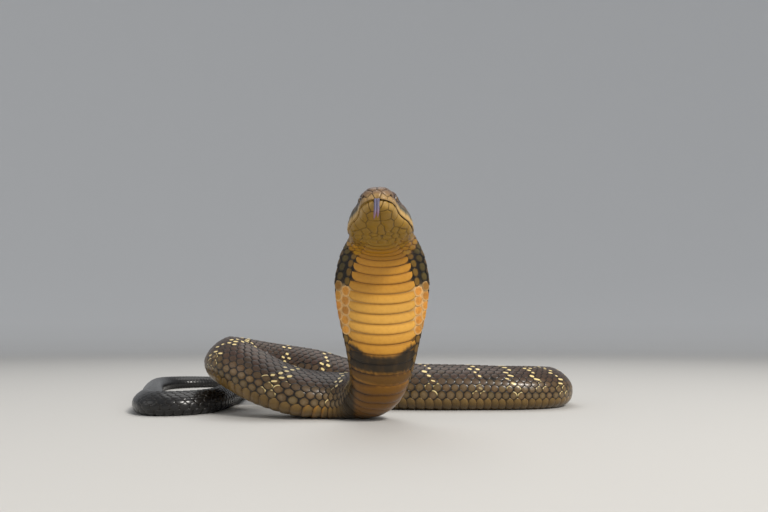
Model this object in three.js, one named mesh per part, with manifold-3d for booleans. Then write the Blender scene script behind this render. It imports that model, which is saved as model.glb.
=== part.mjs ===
// King cobra, life size, reared up with its hood spread and the rest of its body lying in loose coils.
// Millimetres, +Z up. The snake faces -Y, and the floor is z = 0.
import * as THREE from "three";
import { mergeVertices } from "three/addons/utils/BufferGeometryUtils.js";
import Module from "manifold-3d";

const wasm = await Module();
wasm.setup();

// Driving dimensions
const GAP = 0.3; // between two lengths that touch
const HEAD_LENGTH = 76; // snout to the back of the jaw
const MOUTH_DROP = 2.5; // mouth line below the middle line of the neck
const JAW_WIDTH = 59.5;
const MOUTH_GAP = 0.5;
const EYE_RADIUS = 3.7;
const EYE_STATION = 0.675; // share of the head's length from the back
const EYE_HEIGHT = 13.2; // above the mouth line
const EYE_SPREAD = 13.4; // from the middle of the head
const NOSTRIL = { radius: 1.2, station: 0.91, height: 7.5, out: 10.6 };
const TONGUE_WIDTH = 4.8;
const TONGUE_THICKNESS = 1.7;
const SCUTE_STEP = 0.028; // how far a belly plate's free edge stands over the next, for a half width of 1
const PRESS = 0.045; // share of the body's half height that the floor presses flat
const ROOT_INSET = 0.06; // share of a plate that lies under the one before it

// The row frame's origin is the middle of the whole snake's footprint; the route below is set out from
// the point on the floor under the eye of someone who faces the snake.
const FOOTPRINT_CENTRE = new THREE.Vector2(-71.2, 757.5);

// Route of the body's middle line from the back of the head to the tip of the tail, seen from above, with
// the height of the middle line where it is off the floor, and the height left out where it rests on it
const NECK = [
  [-2.4, 528, 181], [-1.8, 536, 179.8], [-1.8, 548, 175.2], [-1.8, 557, 165.5], [-1.8, 563, 152], [-2, 567.5, 137],
  [-2, 573, 117], [-2, 579, 98], [-2, 585.5, 80], [-2.5, 593, 61.5], [-4.5, 603, 43.5], [-11, 620, 30],
  [-27, 638, 24.4],
];
const LEFT_FRONT = [
  [-56, 646, 24], [-86, 642, 26], [-110, 643, 31.6], [-135, 650, 40.8], [-155, 660, 49.8], [-174, 677, 57],
  [-190, 704, 60.5],
];
const LEFT_BACK = [
  [-187, 733, 59.2], [-165, 753, 56], [-134, 758, 51.5], [-85, 750, 43], [-47, 740, 32], [35, 724], [119, 724],
];
const RIGHT_TURN = arc(169, 783, 56, -90, 90, 5);
const HIDDEN_ROWS = [
  [110, 844], [20, 838], ...arc(-64, 879, 41, -90, -270, 5), [-5, 925], [50, 917],
  ...arc(92, 954, 38, -90, 90, 5), [20, 994], [-60, 986], ...arc(-126, 904, 80, 90, 180, 4),
];
const UNDER_THE_COIL = [[-214, 850], [-207, 780], ...arc(-246, 702, 41, 0, -90, 4)];
const TAIL_LOOP = [
  [-262, 662], [-282, 690], [-296, 735], [-313, 785], [-336, 845], [-358, 905], [-376, 965], [-378, 1015],
  [-348, 1048], [-290, 1060], [-220, 1052], [-140, 1050], [-60, 1048], [10, 1034],
];
const SMOOTHING_STEP = 5; // spacing of the points that the route is eased through
const SMOOTHING_PASSES = 8;

// Half width and half height along the middle line, at distances from the back of the head
const GIRTH = [
  { at: 0, half: [31, 15.5] }, { at: 14, half: [35.5, 14.5] }, { at: 28, half: [41, 13.5] },
  { at: 44, half: [45.5, 12.5] }, { at: 60, half: [48, 12.5] }, { at: 80, half: [46.5, 13] },
  { at: 102, half: [42.5, 14.5] }, { at: 122, half: [38.5, 16.5] }, { at: 141, half: [35, 19.5] },
  { at: 163, half: [31.5, 23] }, { at: 188, half: [29.5, 25.5] }, { at: 235, half: [29.3, 25] },
  { at: 290, half: [29.5, 26] }, { at: 340, half: [29.5, 28.7] }, { at: 430, half: [29, 28.6] },
  { at: 700, half: [28.5, 28.2] }, { at: 880, half: [26, 25] }, { at: 1300, half: [23.5, 23] },
  { at: 1800, half: [20.5, 20] }, { at: 2080, half: [17.2, 15.2] }, { at: 2230, half: [15.6, 13.7] },
  { at: 2420, half: [14, 13.2] }, { at: 2600, half: [11.8, 11.4] }, { at: 2800, half: [8, 7.8] },
  { at: 2920, half: [4.6, 4.5] }, { at: 3040, half: [1.4, 1.4] },
];
const HOOD = { from: 4, full: 40, fade: 105, to: 165 }; // where the section is a spread hood
const UPRIGHT = { from: 150, to: 235 }; // where the back turns from facing +Y to facing up
const ROLL = { middle: 470, reach: 110, lean: -0.35 }; // the coil that leans towards -Y
const SCUTE_REACH = [ // how far the belly plates reach round the section, in degrees from its lowest point
  { at: 0, angle: 27 }, { at: 30, angle: 35 }, { at: 70, angle: 38 }, { at: 95, angle: 43 },
  { at: 125, angle: 49 }, { at: 200, angle: 62 },
];

// The lengths that the body is divided into: where each ends, the parts that a bend is divided into, the
// belly plates of each part, and the sides of its section
const LENGTHS = [
  { name: "neck_hood", to: 118, plates: 12, sides: 36 },
  { name: "neck_raised", to: 196, plates: 8, sides: 32 },
  { name: "body_front_left", to: 310, plates: 6, sides: 24 },
  { name: "body_coil_rising", to: 388, plates: 5, sides: 24 },
  { name: "body_coil_turn", to: 472, parts: 2, plates: 3, sides: 24 },
  { name: "body_coil_back", to: 610, plates: 6, sides: 24 },
  { name: "body_right", to: 800, plates: 7, sides: 22 },
  { name: "body_right_turn", to: 975, parts: 3, plates: 3, sides: 22 },
  { name: "body_rear_row", to: 1190, plates: 6, sides: 20 },
  { name: "body_rear_turn_left", to: 1330, parts: 3, plates: 3, sides: 20 },
  { name: "body_middle_row", to: 1470, plates: 5, sides: 20 },
  { name: "body_rear_turn_right", to: 1595, parts: 3, plates: 3, sides: 20 },
  { name: "body_last_row", to: 1805, plates: 6, sides: 18 },
  { name: "body_last_turn", to: 1925, parts: 2, plates: 3, sides: 18 },
  { name: "body_under_coil", to: 2135, parts: 2, plates: 4, sides: 18 },
  { name: "tail_front_turn", to: 2265, parts: 3, plates: 3, sides: 16 },
  { name: "tail_loop_left", to: 2535, plates: 8, sides: 16 },
  { name: "tail_loop_turn", to: 2685, parts: 2, plates: 4, sides: 14 },
  { name: "tail_tip", to: Infinity, parts: 2, plates: 5, sides: 12 },
];

const OLIVE_BROWN = material(0x5a4c3c, 0.42);
const DARK_OLIVE = material(0x3f3a30, 0.45);
const TAIL_BLACK = material(0x1d1d20, 0.4);
const THROAT_YELLOW = material(0xc8912e, 0.4);
const EYE_DARK = material(0x1a1209, 0.08);
const TONGUE_GREY = material(0x6d6a86, 0.35);

const FINISHES = [
  { start: "neck", finish: THROAT_YELLOW },
  { start: "body", finish: OLIVE_BROWN },
  { start: "tail", finish: TAIL_BLACK },
];

function material(color, roughness) {
  return new THREE.MeshStandardMaterial({ color, roughness, metalness: 0 });
}

function radians(degrees) {
  return THREE.MathUtils.degToRad(degrees);
}

function smooth(from, to, x) {
  return THREE.MathUtils.smoothstep(x, Math.min(from, to), Math.max(from, to));
}

// Points of a flat bend round (x, y), both ends included
function arc(x, y, radius, start, end, count) {
  return Array.from({ length: count }, (_, i) => {
    const angle = radians(start + ((end - start) * i) / (count - 1));
    return [x + radius * Math.cos(angle), y + radius * Math.sin(angle)];
  });
}

// A smooth curve through (x[i], y[i]) that never overshoots
function shapeCurve(x, y) {
  const slope = x.slice(1).map((v, i) => (y[i + 1] - y[i]) / (v - x[i]));
  const tangent = y.map((_, i) => {
    if (i === 0 || i === y.length - 1) return slope[i === 0 ? 0 : i - 1];
    const [a, b] = [slope[i - 1], slope[i]];
    if (a * b <= 0) return 0;
    const [before, after] = [x[i] - x[i - 1], x[i + 1] - x[i]];
    return (3 * (before + after)) / ((2 * after + before) / a + (after + 2 * before) / b);
  });
  return (at) => {
    const v = Math.min(Math.max(at, x[0]), x[x.length - 1]);
    let i = 0;
    while (i < x.length - 2 && v > x[i + 1]) i += 1;
    const span = x[i + 1] - x[i];
    const t = (v - x[i]) / span;
    return (
      (2 * t ** 3 - 3 * t ** 2 + 1) * y[i] + (t ** 3 - 2 * t ** 2 + t) * span * tangent[i] +
      (3 * t ** 2 - 2 * t ** 3) * y[i + 1] + (t ** 3 - t ** 2) * span * tangent[i + 1]
    );
  };
}

const GIRTH_AT = GIRTH.map((g) => g.at);
const halfWidth = shapeCurve(GIRTH_AT, GIRTH.map((g) => g.half[0]));
const halfHeight = shapeCurve(GIRTH_AT, GIRTH.map((g) => g.half[1]));
const scuteReach = shapeCurve(SCUTE_REACH.map((g) => g.at), SCUTE_REACH.map((g) => radians(g.angle)));

// The middle line: a curve through the route, eased by averaging each point with its neighbours
function middleLine() {
  const knots = [
    ...NECK, ...LEFT_FRONT, ...LEFT_BACK, ...RIGHT_TURN, ...HIDDEN_ROWS, ...UNDER_THE_COIL, ...TAIL_LOOP,
  ].map(([x, y, z]) => [x - FOOTPRINT_CENTRE.x, y - FOOTPRINT_CENTRE.y, z]);
  let travelled = 0;
  const placed = knots.map(([x, y, z], i) => {
    if (i > 0) {
      const [lastX, lastY, lastZ] = knots[i - 1];
      const rise = z === undefined || lastZ === undefined ? 0 : z - lastZ;
      travelled += Math.hypot(x - lastX, y - lastY, rise);
    }
    return new THREE.Vector3(x, y, z ?? halfHeight(travelled * ROUTE_STRETCH) * (1 - PRESS));
  });
  const curve = new THREE.CatmullRomCurve3(placed, false, "centripetal");
  curve.arcLengthDivisions = placed.length * 20;
  const count = Math.round(curve.getLength() / SMOOTHING_STEP);
  let points = curve.getSpacedPoints(count);
  for (let pass = 0; pass < SMOOTHING_PASSES; pass += 1) {
    points = points.map((p, i) => {
      if (i === 0 || i === points.length - 1) return p;
      return p.clone().multiplyScalar(2).add(points[i - 1]).add(points[i + 1]).divideScalar(4);
    });
  }
  const lengths = [0];
  points.slice(1).forEach((p, i) => lengths.push(lengths[i] + p.distanceTo(points[i])));
  return { points, lengths, total: lengths[lengths.length - 1] };
}
const ROUTE_STRETCH = 1.02; // a smooth curve is longer than the straight steps between its knots
const LINE = middleLine();

// Position on the middle line, with its backward direction, the way its back faces, and its right side
function placeAt(s) {
  const { points, lengths, total } = LINE;
  const v = Math.min(Math.max(s, 0), total);
  let i = 0;
  while (i < lengths.length - 2 && lengths[i + 1] < v) i += 1;
  const t = (v - lengths[i]) / (lengths[i + 1] - lengths[i]);
  const step = (k) => {
    const [a, b] = [points[Math.max(k - 1, 0)], points[Math.min(k + 1, points.length - 1)]];
    return new THREE.Vector3().subVectors(b, a).normalize();
  };
  const centre = points[i].clone().lerp(points[i + 1], t);
  const backward = step(i).lerp(step(i + 1), t).normalize();
  const upright = smooth(UPRIGHT.from, UPRIGHT.to, v);
  const lean = ROLL.lean * (1 - smooth(0, ROLL.reach, Math.abs(v - ROLL.middle)));
  const back = new THREE.Vector3(0, 1 - upright + lean, 1);
  back.addScaledVector(backward, -back.dot(backward)).normalize();
  return { centre, backward, back, side: new THREE.Vector3().crossVectors(back, backward) };
}

function hoodShare(s) {
  return smooth(HOOD.from, HOOD.full, s) * (1 - smooth(HOOD.fade, HOOD.to, s));
}

// One section's outline for unit half width and height: angle 0 is the middle of the back, 180 the belly's
function sectionPoint(angle, hood, resting) {
  const across = Math.sin(angle);
  const along = Math.abs(Math.cos(angle));
  const edge = Math.abs(across);
  if (Math.cos(angle) >= 0) {
    const ridged = 0.78 * along + 0.22 * (1 - edge);
    const spread = 0.5 * along + 0.5 * Math.exp(-((edge / 0.42) ** 2));
    return [across * (1 - 0.1 * along * (1 - hood)), ridged * (1 - hood) + spread * hood];
  }
  const pressed = Math.max(0, 1 - edge ** 2.6) ** (1 / 2.2);
  const belly = along + (pressed - along) * resting;
  const bulged = 0.45 * along + 0.55 * Math.cos((Math.PI / 2) * Math.min(1, edge / 0.8)) ** 0.8;
  const corner = 0.1 * along * edge * resting;
  return [across * (1 + corner * (1 - hood)), -(belly * (1 - hood) + bulged * hood)];
}

// One ring of the skin. raise is how far the belly plates stand out of it there.
function ring(s, sides, raise) {
  const place = placeAt(s);
  const [a, b] = [halfWidth(s), halfHeight(s)];
  const hood = hoodShare(s);
  const scute = scuteReach(s);
  const resting = s > UPRIGHT.to - 30 ? 1 - smooth(1, 9, place.centre.z - b) : 0;
  const points = Array.from({ length: sides }, (_, i) => {
    const angle = (2 * Math.PI * i) / sides;
    const [u, w] = sectionPoint(angle, hood, resting);
    const fromBelly = Math.abs(angle - Math.PI);
    const lift = raise * (1 - smooth(scute * 0.92, scute * 1.08, fromBelly));
    const point = place.centre.clone();
    point.addScaledVector(place.side, a * u + lift * Math.sin(angle));
    return point.addScaledVector(place.back, b * w + lift * Math.cos(angle));
  });
  if (resting > 0) points.forEach((p) => (p.z = Math.max(p.z, 0)));
  return points;
}

// A closed body from rings of points, with a flat fan at each end
function closedLoft(rings) {
  const sides = rings[0].length;
  const middle = (points) => points.reduce((sum, p) => sum.add(p), new THREE.Vector3()).divideScalar(sides);
  const ends = [middle(rings[0]), middle(rings[rings.length - 1])];
  const points = [...rings.flat(), ...ends];
  const faces = [];
  const last = (rings.length - 1) * sides;
  for (let j = 0; j < sides; j += 1) {
    const next = (j + 1) % sides;
    for (let i = 0; i < rings.length - 1; i += 1) {
      const [p, q] = [i * sides, (i + 1) * sides];
      faces.push(p + j, q + next, p + next, p + j, q + j, q + next);
    }
    faces.push(points.length - 2, j, next, points.length - 1, last + next, last + j);
  }
  const geometry = new THREE.BufferGeometry().setFromPoints(points);
  geometry.setIndex(faces);
  return geometry;
}

// A length of the body, with two rings to each belly plate: its root, and its free edge
function bodyLength(from, to, { plates, sides }) {
  const [start, end] = [from + GAP / 2, to - GAP / 2];
  const plate = (end - start) / plates;
  const rings = [];
  for (let i = 0; i < plates; i += 1) {
    const root = start + plate * (i + (i > 0 ? ROOT_INSET : 0));
    const edge = start + plate * (i + 1);
    rings.push(ring(root, sides, 0), ring(edge, sides, SCUTE_STEP * halfWidth(edge)));
  }
  return closedLoft(rings);
}

// The head's own frame: x to its right, y towards the snout, z up, from the back of the mouth line
const HEAD_HALF_WIDTH = shapeCurve(
  [0, 0.12, 0.3, 0.48, 0.66, 0.82, 0.93, 1],
  [1, 1, 0.99, 0.88, 0.62, 0.51, 0.45, 0.41].map((share) => (share * JAW_WIDTH) / 2),
);
const CROWN_HEIGHT = shapeCurve([0, 0.2, 0.5, 0.68, 0.84, 0.95, 1], [17.5, 19, 20.5, 21, 18.8, 16, 14]);
const JAW_DEPTH = shapeCurve([0, 0.2, 0.5, 0.8, 0.94, 1], [12.5, 12.5, 10.5, 7.5, 6.2, 5.5]);
const MOUTH_LINE = shapeCurve([0, 0.2, 0.42, 0.75, 1], [2, -0.5, -1.8, 0.3, 1.6]);
const TONGUE_TIPS = [
  { root: [1.5, 4.1, -11], tip: [4.9, 3.2, -19.5] },
  { root: [-0.6, 4.1, -11], tip: [-0.8, 3.4, -17.8] },
];
const HEAD_STATIONS = 19;
const HEAD_SIDES = 28;
const BROW = { station: 0.67, reach: 0.11, out: 2 };
const SNOUT = { from: 0.82, across: 2.2, upright: 3.2 }; // where it rounds off, and how bluntly
const JAW_SET_BACK = 0.975; // the lower jaw's length to the upper's

const HEAD_FRAME = headFrame();

function headFrame() {
  const { centre, backward, back, side } = placeAt(0);
  const frame = new THREE.Matrix4().makeBasis(side, backward.clone().negate(), back);
  const origin = centre.clone().addScaledVector(backward, -GAP / 2).addScaledVector(back, -MOUTH_DROP);
  return frame.setPosition(origin);
}

function blunt(station, power) {
  const share = Math.max(0, (station - SNOUT.from) / (1 - SNOUT.from));
  return (1 - share ** power) ** (1 / power);
}

// Half of a head section: part 1 is the upper head, part -1 the lower jaw
function headRing(station, part) {
  const width = HEAD_HALF_WIDTH(station) * blunt(station, SNOUT.across);
  const mouth = MOUTH_LINE(station) + (part * MOUTH_GAP) / 2;
  const full = part > 0 ? CROWN_HEIGHT(station) - mouth : JAW_DEPTH(station) + mouth;
  const height = full * blunt(station, SNOUT.upright);
  const [inset, reach] = part > 0 ? [1, 1] : [0.95, JAW_SET_BACK];
  const brow = part > 0 ? BROW.out * Math.exp(-(((station - BROW.station) / BROW.reach) ** 2)) : 0;
  const points = [];
  for (let i = 0; i < HEAD_SIDES; i += 1) {
    const angle = (Math.PI * i) / (HEAD_SIDES - 1);
    const [c, r] = [Math.cos(angle), Math.sin(angle)];
    const flare = 1 - 0.1 * r ** 2;
    const square = part > 0 ? 0.62 : 0.72;
    const x = width * inset * Math.sign(c) * Math.abs(c) ** (part > 0 ? 0.7 : 0.8) * flare;
    const browShare = brow * Math.exp(-(((Math.abs(c) - 0.68) / 0.2) ** 2));
    const z = height * r ** square + browShare * 0.6;
    const along = station * HEAD_LENGTH * reach;
    points.push(new THREE.Vector3(x + Math.sign(c) * browShare * 0.5, along, mouth + part * z));
  }
  return part > 0 ? points : points.reverse();
}

function headHalf(part) {
  const rings = [];
  for (let i = 0; i < HEAD_STATIONS; i += 1) {
    const t = i / (HEAD_STATIONS - 1);
    rings.push(headRing(0.997 * Math.sin((t * Math.PI) / 2) ** 0.9, part));
  }
  return closedLoft(rings);
}

// The tongue hangs out of the middle of the mouth and forks
function tongueLoft(path, widths, thicknesses, sides) {
  const rings = path.map((centre, k) => {
    const before = path[Math.max(k - 1, 0)];
    const after = path[Math.min(k + 1, path.length - 1)];
    const forward = new THREE.Vector3().subVectors(after, before).normalize();
    const across = new THREE.Vector3(1, 0, 0).addScaledVector(forward, -forward.x).normalize();
    const normal = new THREE.Vector3().crossVectors(across, forward);
    return Array.from({ length: sides }, (_, i) => {
      const angle = (2 * Math.PI * i) / sides;
      const point = centre.clone().addScaledVector(across, (widths[k] / 2) * Math.cos(angle));
      return point.addScaledVector(normal, (thicknesses[k] / 2) * Math.sin(angle));
    });
  });
  return closedLoft(rings);
}

function tongue(grown) {
  const at = ([x, y, z]) => new THREE.Vector3(x, HEAD_LENGTH + y, z);
  const stem = [[0, -13, 0.6], [0, -4, 1.2], [0, 0.5, 1.3], [0, 3, 0], [0.1, 4, -3], [0.3, 4.2, -8], [0.6, 4, -12.5]];
  const wide = TONGUE_WIDTH + grown;
  const thick = TONGUE_THICKNESS + grown;
  const solid = solidOf(tongueLoft(stem.map(at), stem.map(() => wide), stem.map(() => thick), 14));
  const tines = TONGUE_TIPS.map(({ root, tip }) => {
    const path = [0, 0.33, 0.66, 1].map((t) => at(root).lerp(at(tip), t));
    return solidOf(tongueLoft(path, [2.3, 1.9, 1.3, 0.5], [1.6, 1.4, 1, 0.4], 10));
  });
  return wasm.Manifold.union([solid, ...tines]);
}

function solidOf(geometry) {
  const bare = geometry.index ? geometry.clone() : geometry.toNonIndexed();
  bare.deleteAttribute("normal");
  bare.deleteAttribute("uv");
  const merged = mergeVertices(bare, 1e-4);
  const mesh = new wasm.Mesh({
    numProp: 3,
    vertProperties: new Float32Array(merged.attributes.position.array),
    triVerts: new Uint32Array(merged.index.array),
  });
  return new wasm.Manifold(mesh);
}

function geometryOf(solid) {
  const largest = solid.decompose().sort((a, b) => b.volume() - a.volume())[0];
  const { vertProperties, triVerts, numProp, numVert } = largest.getMesh();
  const position = new Float32Array(numVert * 3);
  for (let i = 0; i < numVert; i += 1) {
    position.set(vertProperties.subarray(i * numProp, i * numProp + 3), i * 3);
  }
  return new THREE.BufferGeometry()
    .setAttribute("position", new THREE.BufferAttribute(position, 3))
    .setIndex(new THREE.BufferAttribute(new Uint32Array(triVerts), 1));
}

function ball(radius, x, y, z, detail = 12) {
  return new THREE.SphereGeometry(radius, detail, detail - 4).translate(x, y, z);
}

function eyeBall(side, radius) {
  return ball(radius, side * EYE_SPREAD, EYE_STATION * HEAD_LENGTH, EYE_HEIGHT, 16);
}

function addMesh(group, name, geometry, finish) {
  const mesh = new THREE.Mesh(geometry, finish);
  mesh.name = name;
  group.add(mesh);
}

function addLength(group, length, from) {
  const to = Math.min(length.to, LINE.total);
  const parts = length.parts ?? 1;
  const finish = FINISHES.find(({ start }) => length.name.startsWith(start)).finish;
  for (let i = 0; i < parts; i += 1) {
    const [start, end] = [0, 1].map((k) => from + ((to - from) * (i + k)) / parts);
    const name = parts > 1 ? `${length.name}_${i + 1}` : length.name;
    addMesh(group, name, bodyLength(start, end, length), finish);
  }
  return to;
}

const snake = new THREE.Group();
LENGTHS.reduce((from, length) => addLength(snake, length, from), 0);

const head = new THREE.Group();
head.applyMatrix4(HEAD_FRAME);
snake.add(head);
const slot = tongue(2 * GAP);
const sockets = [-1, 1].map((side) => solidOf(eyeBall(side, EYE_RADIUS + GAP)));
const nostrils = [-1, 1].map((side) => {
  const { radius, station, height, out } = NOSTRIL;
  return solidOf(ball(radius, side * out, station * HEAD_LENGTH, height));
});
const upperHead = wasm.Manifold.difference([solidOf(headHalf(1)), slot, ...sockets, ...nostrils]);
addMesh(head, "head", geometryOf(upperHead), DARK_OLIVE);
addMesh(head, "lower_jaw", geometryOf(solidOf(headHalf(-1)).subtract(slot)), THROAT_YELLOW);
addMesh(head, "eye_right", eyeBall(1, EYE_RADIUS), EYE_DARK);
addMesh(head, "eye_left", eyeBall(-1, EYE_RADIUS), EYE_DARK);
addMesh(head, "tongue", geometryOf(tongue(0)), TONGUE_GREY);

export default snake;
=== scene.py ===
"""A king cobra, life size, reared up with its hood spread and the rest of its body in loose coils.

Shapes are worked out in millimetres in the row frame and become metres when a mesh is made. g is the place
along the snake: -76 at the snout, 0 at the back of the jaw and about 3010 at the tip of the tail. An angle of
0 is the middle of the back, and of 180 degrees the middle of the belly.
"""
import math
from types import SimpleNamespace
import bpy
import numpy as np
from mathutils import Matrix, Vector


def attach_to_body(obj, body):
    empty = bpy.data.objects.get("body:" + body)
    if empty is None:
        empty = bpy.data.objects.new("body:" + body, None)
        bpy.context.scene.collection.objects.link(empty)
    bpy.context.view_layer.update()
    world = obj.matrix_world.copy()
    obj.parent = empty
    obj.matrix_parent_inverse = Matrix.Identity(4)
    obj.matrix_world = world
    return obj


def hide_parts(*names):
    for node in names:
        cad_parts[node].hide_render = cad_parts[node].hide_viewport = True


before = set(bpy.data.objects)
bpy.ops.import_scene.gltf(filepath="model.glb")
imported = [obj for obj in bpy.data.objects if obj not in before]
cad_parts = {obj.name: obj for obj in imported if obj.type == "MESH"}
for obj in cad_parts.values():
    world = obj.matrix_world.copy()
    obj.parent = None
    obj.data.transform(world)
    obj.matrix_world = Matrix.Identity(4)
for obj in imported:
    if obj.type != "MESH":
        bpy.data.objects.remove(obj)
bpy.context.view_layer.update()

MM = 0.001
BAKE_UV = "OFBake"
random = np.random.default_rng(11)

# The camera, as the photograph has it
CAMERA_PLACE = (0.0712, -0.7575, 0.083)
CAMERA_PITCH = 8.51
CAMERA_LENS = 26.625
SENSOR_WIDTH = 36.0

# Route of the middle line, in millimetres from the point under the viewer's eye
FOOTPRINT_CENTRE = (-71.2, 757.5)


def arc(x, y, radius, start, end, count):
    """Points of a flat bend round (x, y), both ends included."""
    angles = np.radians(np.linspace(start, end, count))
    return [(x + radius * math.cos(a), y + radius * math.sin(a)) for a in angles]


NECK = [
    (-2.4, 528, 181), (-1.8, 536, 179.8), (-1.8, 548, 175.2), (-1.8, 557, 165.5), (-1.8, 563, 152),
    (-2, 567.5, 137), (-2, 573, 117), (-2, 579, 98), (-2, 585.5, 80), (-2.5, 593, 61.5), (-4.5, 603, 43.5),
    (-11, 620, 30), (-27, 638, 24.4),
]
LEFT_FRONT = [
    (-56, 646, 24), (-86, 642, 26), (-110, 643, 31.6), (-135, 650, 40.8), (-155, 660, 49.8), (-174, 677, 57),
    (-190, 704, 60.5),
]
LEFT_BACK = [
    (-187, 733, 59.2), (-165, 753, 56), (-134, 758, 51.5), (-85, 750, 43), (-47, 740, 32), (35, 724),
    (119, 724),
]
RIGHT_TURN = arc(169, 783, 56, -90, 90, 5)
HIDDEN_ROWS = [
    (110, 844), (20, 838), *arc(-64, 879, 41, -90, -270, 5), (-5, 925), (50, 917),
    *arc(92, 954, 38, -90, 90, 5), (20, 994), (-60, 986), *arc(-126, 904, 80, 90, 180, 4),
]
UNDER_THE_COIL = [(-214, 850), (-207, 780), *arc(-246, 702, 41, 0, -90, 4)]
TAIL_LOOP = [
    (-262, 662), (-282, 690), (-296, 735), (-313, 785), (-336, 845), (-358, 905), (-376, 965), (-378, 1015),
    (-348, 1048), (-290, 1060), (-220, 1052), (-140, 1050), (-60, 1048), (10, 1034),
]
PIECE_POINTS = 40  # on the route between two of its points, before it is eased
SMOOTHING_STEP = 5
SMOOTHING_PASSES = 8
ROUTE_STRETCH = 1.02  # of the eased route, over the straight steps between its points
PRESS = 0.045  # share of the half height that the floor presses flat
FLOOR_CLEARANCE = 0.02

# Half width and half height of the body at places along it
GIRTH = [
    (0, 31, 15.5), (14, 35.5, 14.5), (28, 41, 13.5), (44, 45.5, 12.5), (60, 48, 12.5), (80, 46.5, 13),
    (102, 42.5, 14.5), (122, 38.5, 16.5), (141, 35, 19.5), (163, 31.5, 23), (188, 29.5, 25.5),
    (235, 29.3, 25), (290, 29.5, 26), (340, 29.5, 28.7), (430, 29, 28.6), (700, 28.5, 28.2), (880, 26, 25),
    (1300, 23.5, 23), (1800, 20.5, 20), (2080, 17.2, 15.2), (2230, 15.6, 13.7), (2420, 14, 13.2),
    (2600, 11.8, 11.4), (2800, 8, 7.8), (2920, 4.6, 4.5), (3040, 1.4, 1.4),
]
HOOD = ((4, 40), (105, 165))  # where it spreads, and where it closes again
UPRIGHT = (150, 235)  # before this the back faces away from the viewer, and after it upwards
ROLL = {"middle": 470, "reach": 110, "lean": -0.35}

# The head
HEAD_LENGTH = 76
MOUTH_DROP = 2.5
MOUTH_GAP = 0.5
JAW_WIDTH = 59.5
EYE = {"radius": 3.7, "y": 51.3, "height": 13.2, "out": 14.15, "facing": (0.93, 0.34, 0.1)}
NOSTRIL = {"radius": 1.2, "y": 69.2, "height": 7.5}
MOUTH_CORNER = (9, 19)  # where the line of the mouth ends, from the back of the jaw
MOUTH_DEPTH = 1.9
JAW_SET_BACK = 0.975
SNOUT = {"from": 0.82, "across": 2.2, "upright": 3.2}
BROW = {"out": 2, "station": (0.67, 0.11), "across": (0.68, 0.2)}

# Scales: the pitch along the body, and how deep the skin lies under their tops
PITCH = [
    (-80, 7.2), (-20, 9), (0, 10.3), (25, 10.4), (40, 9.9), (110, 9.9), (150, 9), (160, 8.3), (175, 7.6),
    (200, 7.7), (240, 8.8), (300, 9.6), (600, 9.6), (720, 10.1), (780, 8.4), (850, 7.4), (930, 7.6),
    (1050, 8.8), (2000, 8.4), (2350, 7.2), (2600, 5.8), (2800, 4.6), (3010, 3),
]
SCALE_DEPTH = 0.1  # share of the pitch
DEPTH_LIMITS = (0.3, 0.9)
COAT_START = (-20, -9)
# Rows of scales on each side of the middle one: where a row, counted from the belly, ends, begins and ends
ROWS_AT_THE_NECK = 9
ROW_CHANGES = {
    4: (150,), 5: (520, 770, 1500), 3: (1900,), 6: (2150,), 2: (2330,), 7: (2480,), 8: (2660,),
}
ROW_FADE = 36
LEAST_SHARE = 0.45  # of a fading row's width, under which it has no scales
SCUTE_HALF_WIDTH = [
    (-22, 11), (-16, 13), (-6, 15.5), (5, 19), (20, 22), (32, 25.5), (38, 27.5), (51, 29.5), (62, 32),
    (85, 33.4), (109, 33.8), (133, 33), (150, 31), (165, 29.5), (200, 27),
]
SCUTE_ANGLE = 70  # behind the raised part, in degrees from the middle of the belly
FIRST_SCUTE = -18
TAIL_END = 3004


def smooth(start, end, x):
    """0 before start, 1 after end, and an easy slope between."""
    t = np.clip((np.asarray(x, float) - start) / (end - start), 0, 1)
    return t * t * (3 - 2 * t)


def between(rise, fall, x):
    """1 between two easy slopes, and 0 before and after them."""
    return smooth(*rise, x) * (1 - smooth(*fall, x))


def bump(x, middle, reach):
    return np.exp(-(((x - middle) / reach) ** 2))


def towards(a, b, share):
    return a + (b - a) * share


def full_turn(count):
    return np.linspace(0, 2 * math.pi, count, endpoint=False)


def unit(v):
    return v / np.linalg.norm(v, axis=-1, keepdims=True)


def hermite(a, b, leave, arrive, t):
    """The cubic from a to b with these slopes at its ends, for t from 0 to 1."""
    start = (2 * t**3 - 3 * t**2 + 1) * a + (t**3 - 2 * t**2 + t) * leave
    return start + (3 * t**2 - 2 * t**3) * b + (t**3 - t**2) * arrive


def shape_curve(points):
    """A smooth curve through (at, value) pairs that never overshoots."""
    x, y = (np.array(column, float) for column in zip(*points))
    gap = np.diff(x)
    slope = np.diff(y) / gap
    tangent = np.concatenate([slope[:1], np.zeros(len(y) - 2), slope[-1:]])
    for i in range(1, len(y) - 1):
        a, b, before, after = slope[i - 1], slope[i], gap[i - 1], gap[i]
        if a * b > 0:
            tangent[i] = 3 * (before + after) / ((2 * after + before) / a + (after + 2 * before) / b)

    def curve(at):
        v = np.clip(at, x[0], x[-1])
        i = np.clip(np.searchsorted(x, v, side="right") - 1, 0, len(x) - 2)
        return hermite(y[i], y[i + 1], gap[i] * tangent[i], gap[i] * tangent[i + 1], (v - x[i]) / gap[i])

    return curve


half_width = shape_curve([(at, wide) for at, wide, _ in GIRTH])
half_height = shape_curve([(at, high) for at, _, high in GIRTH])
scale_pitch = shape_curve(PITCH)
scute_half_width = shape_curve(SCUTE_HALF_WIDTH)

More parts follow.
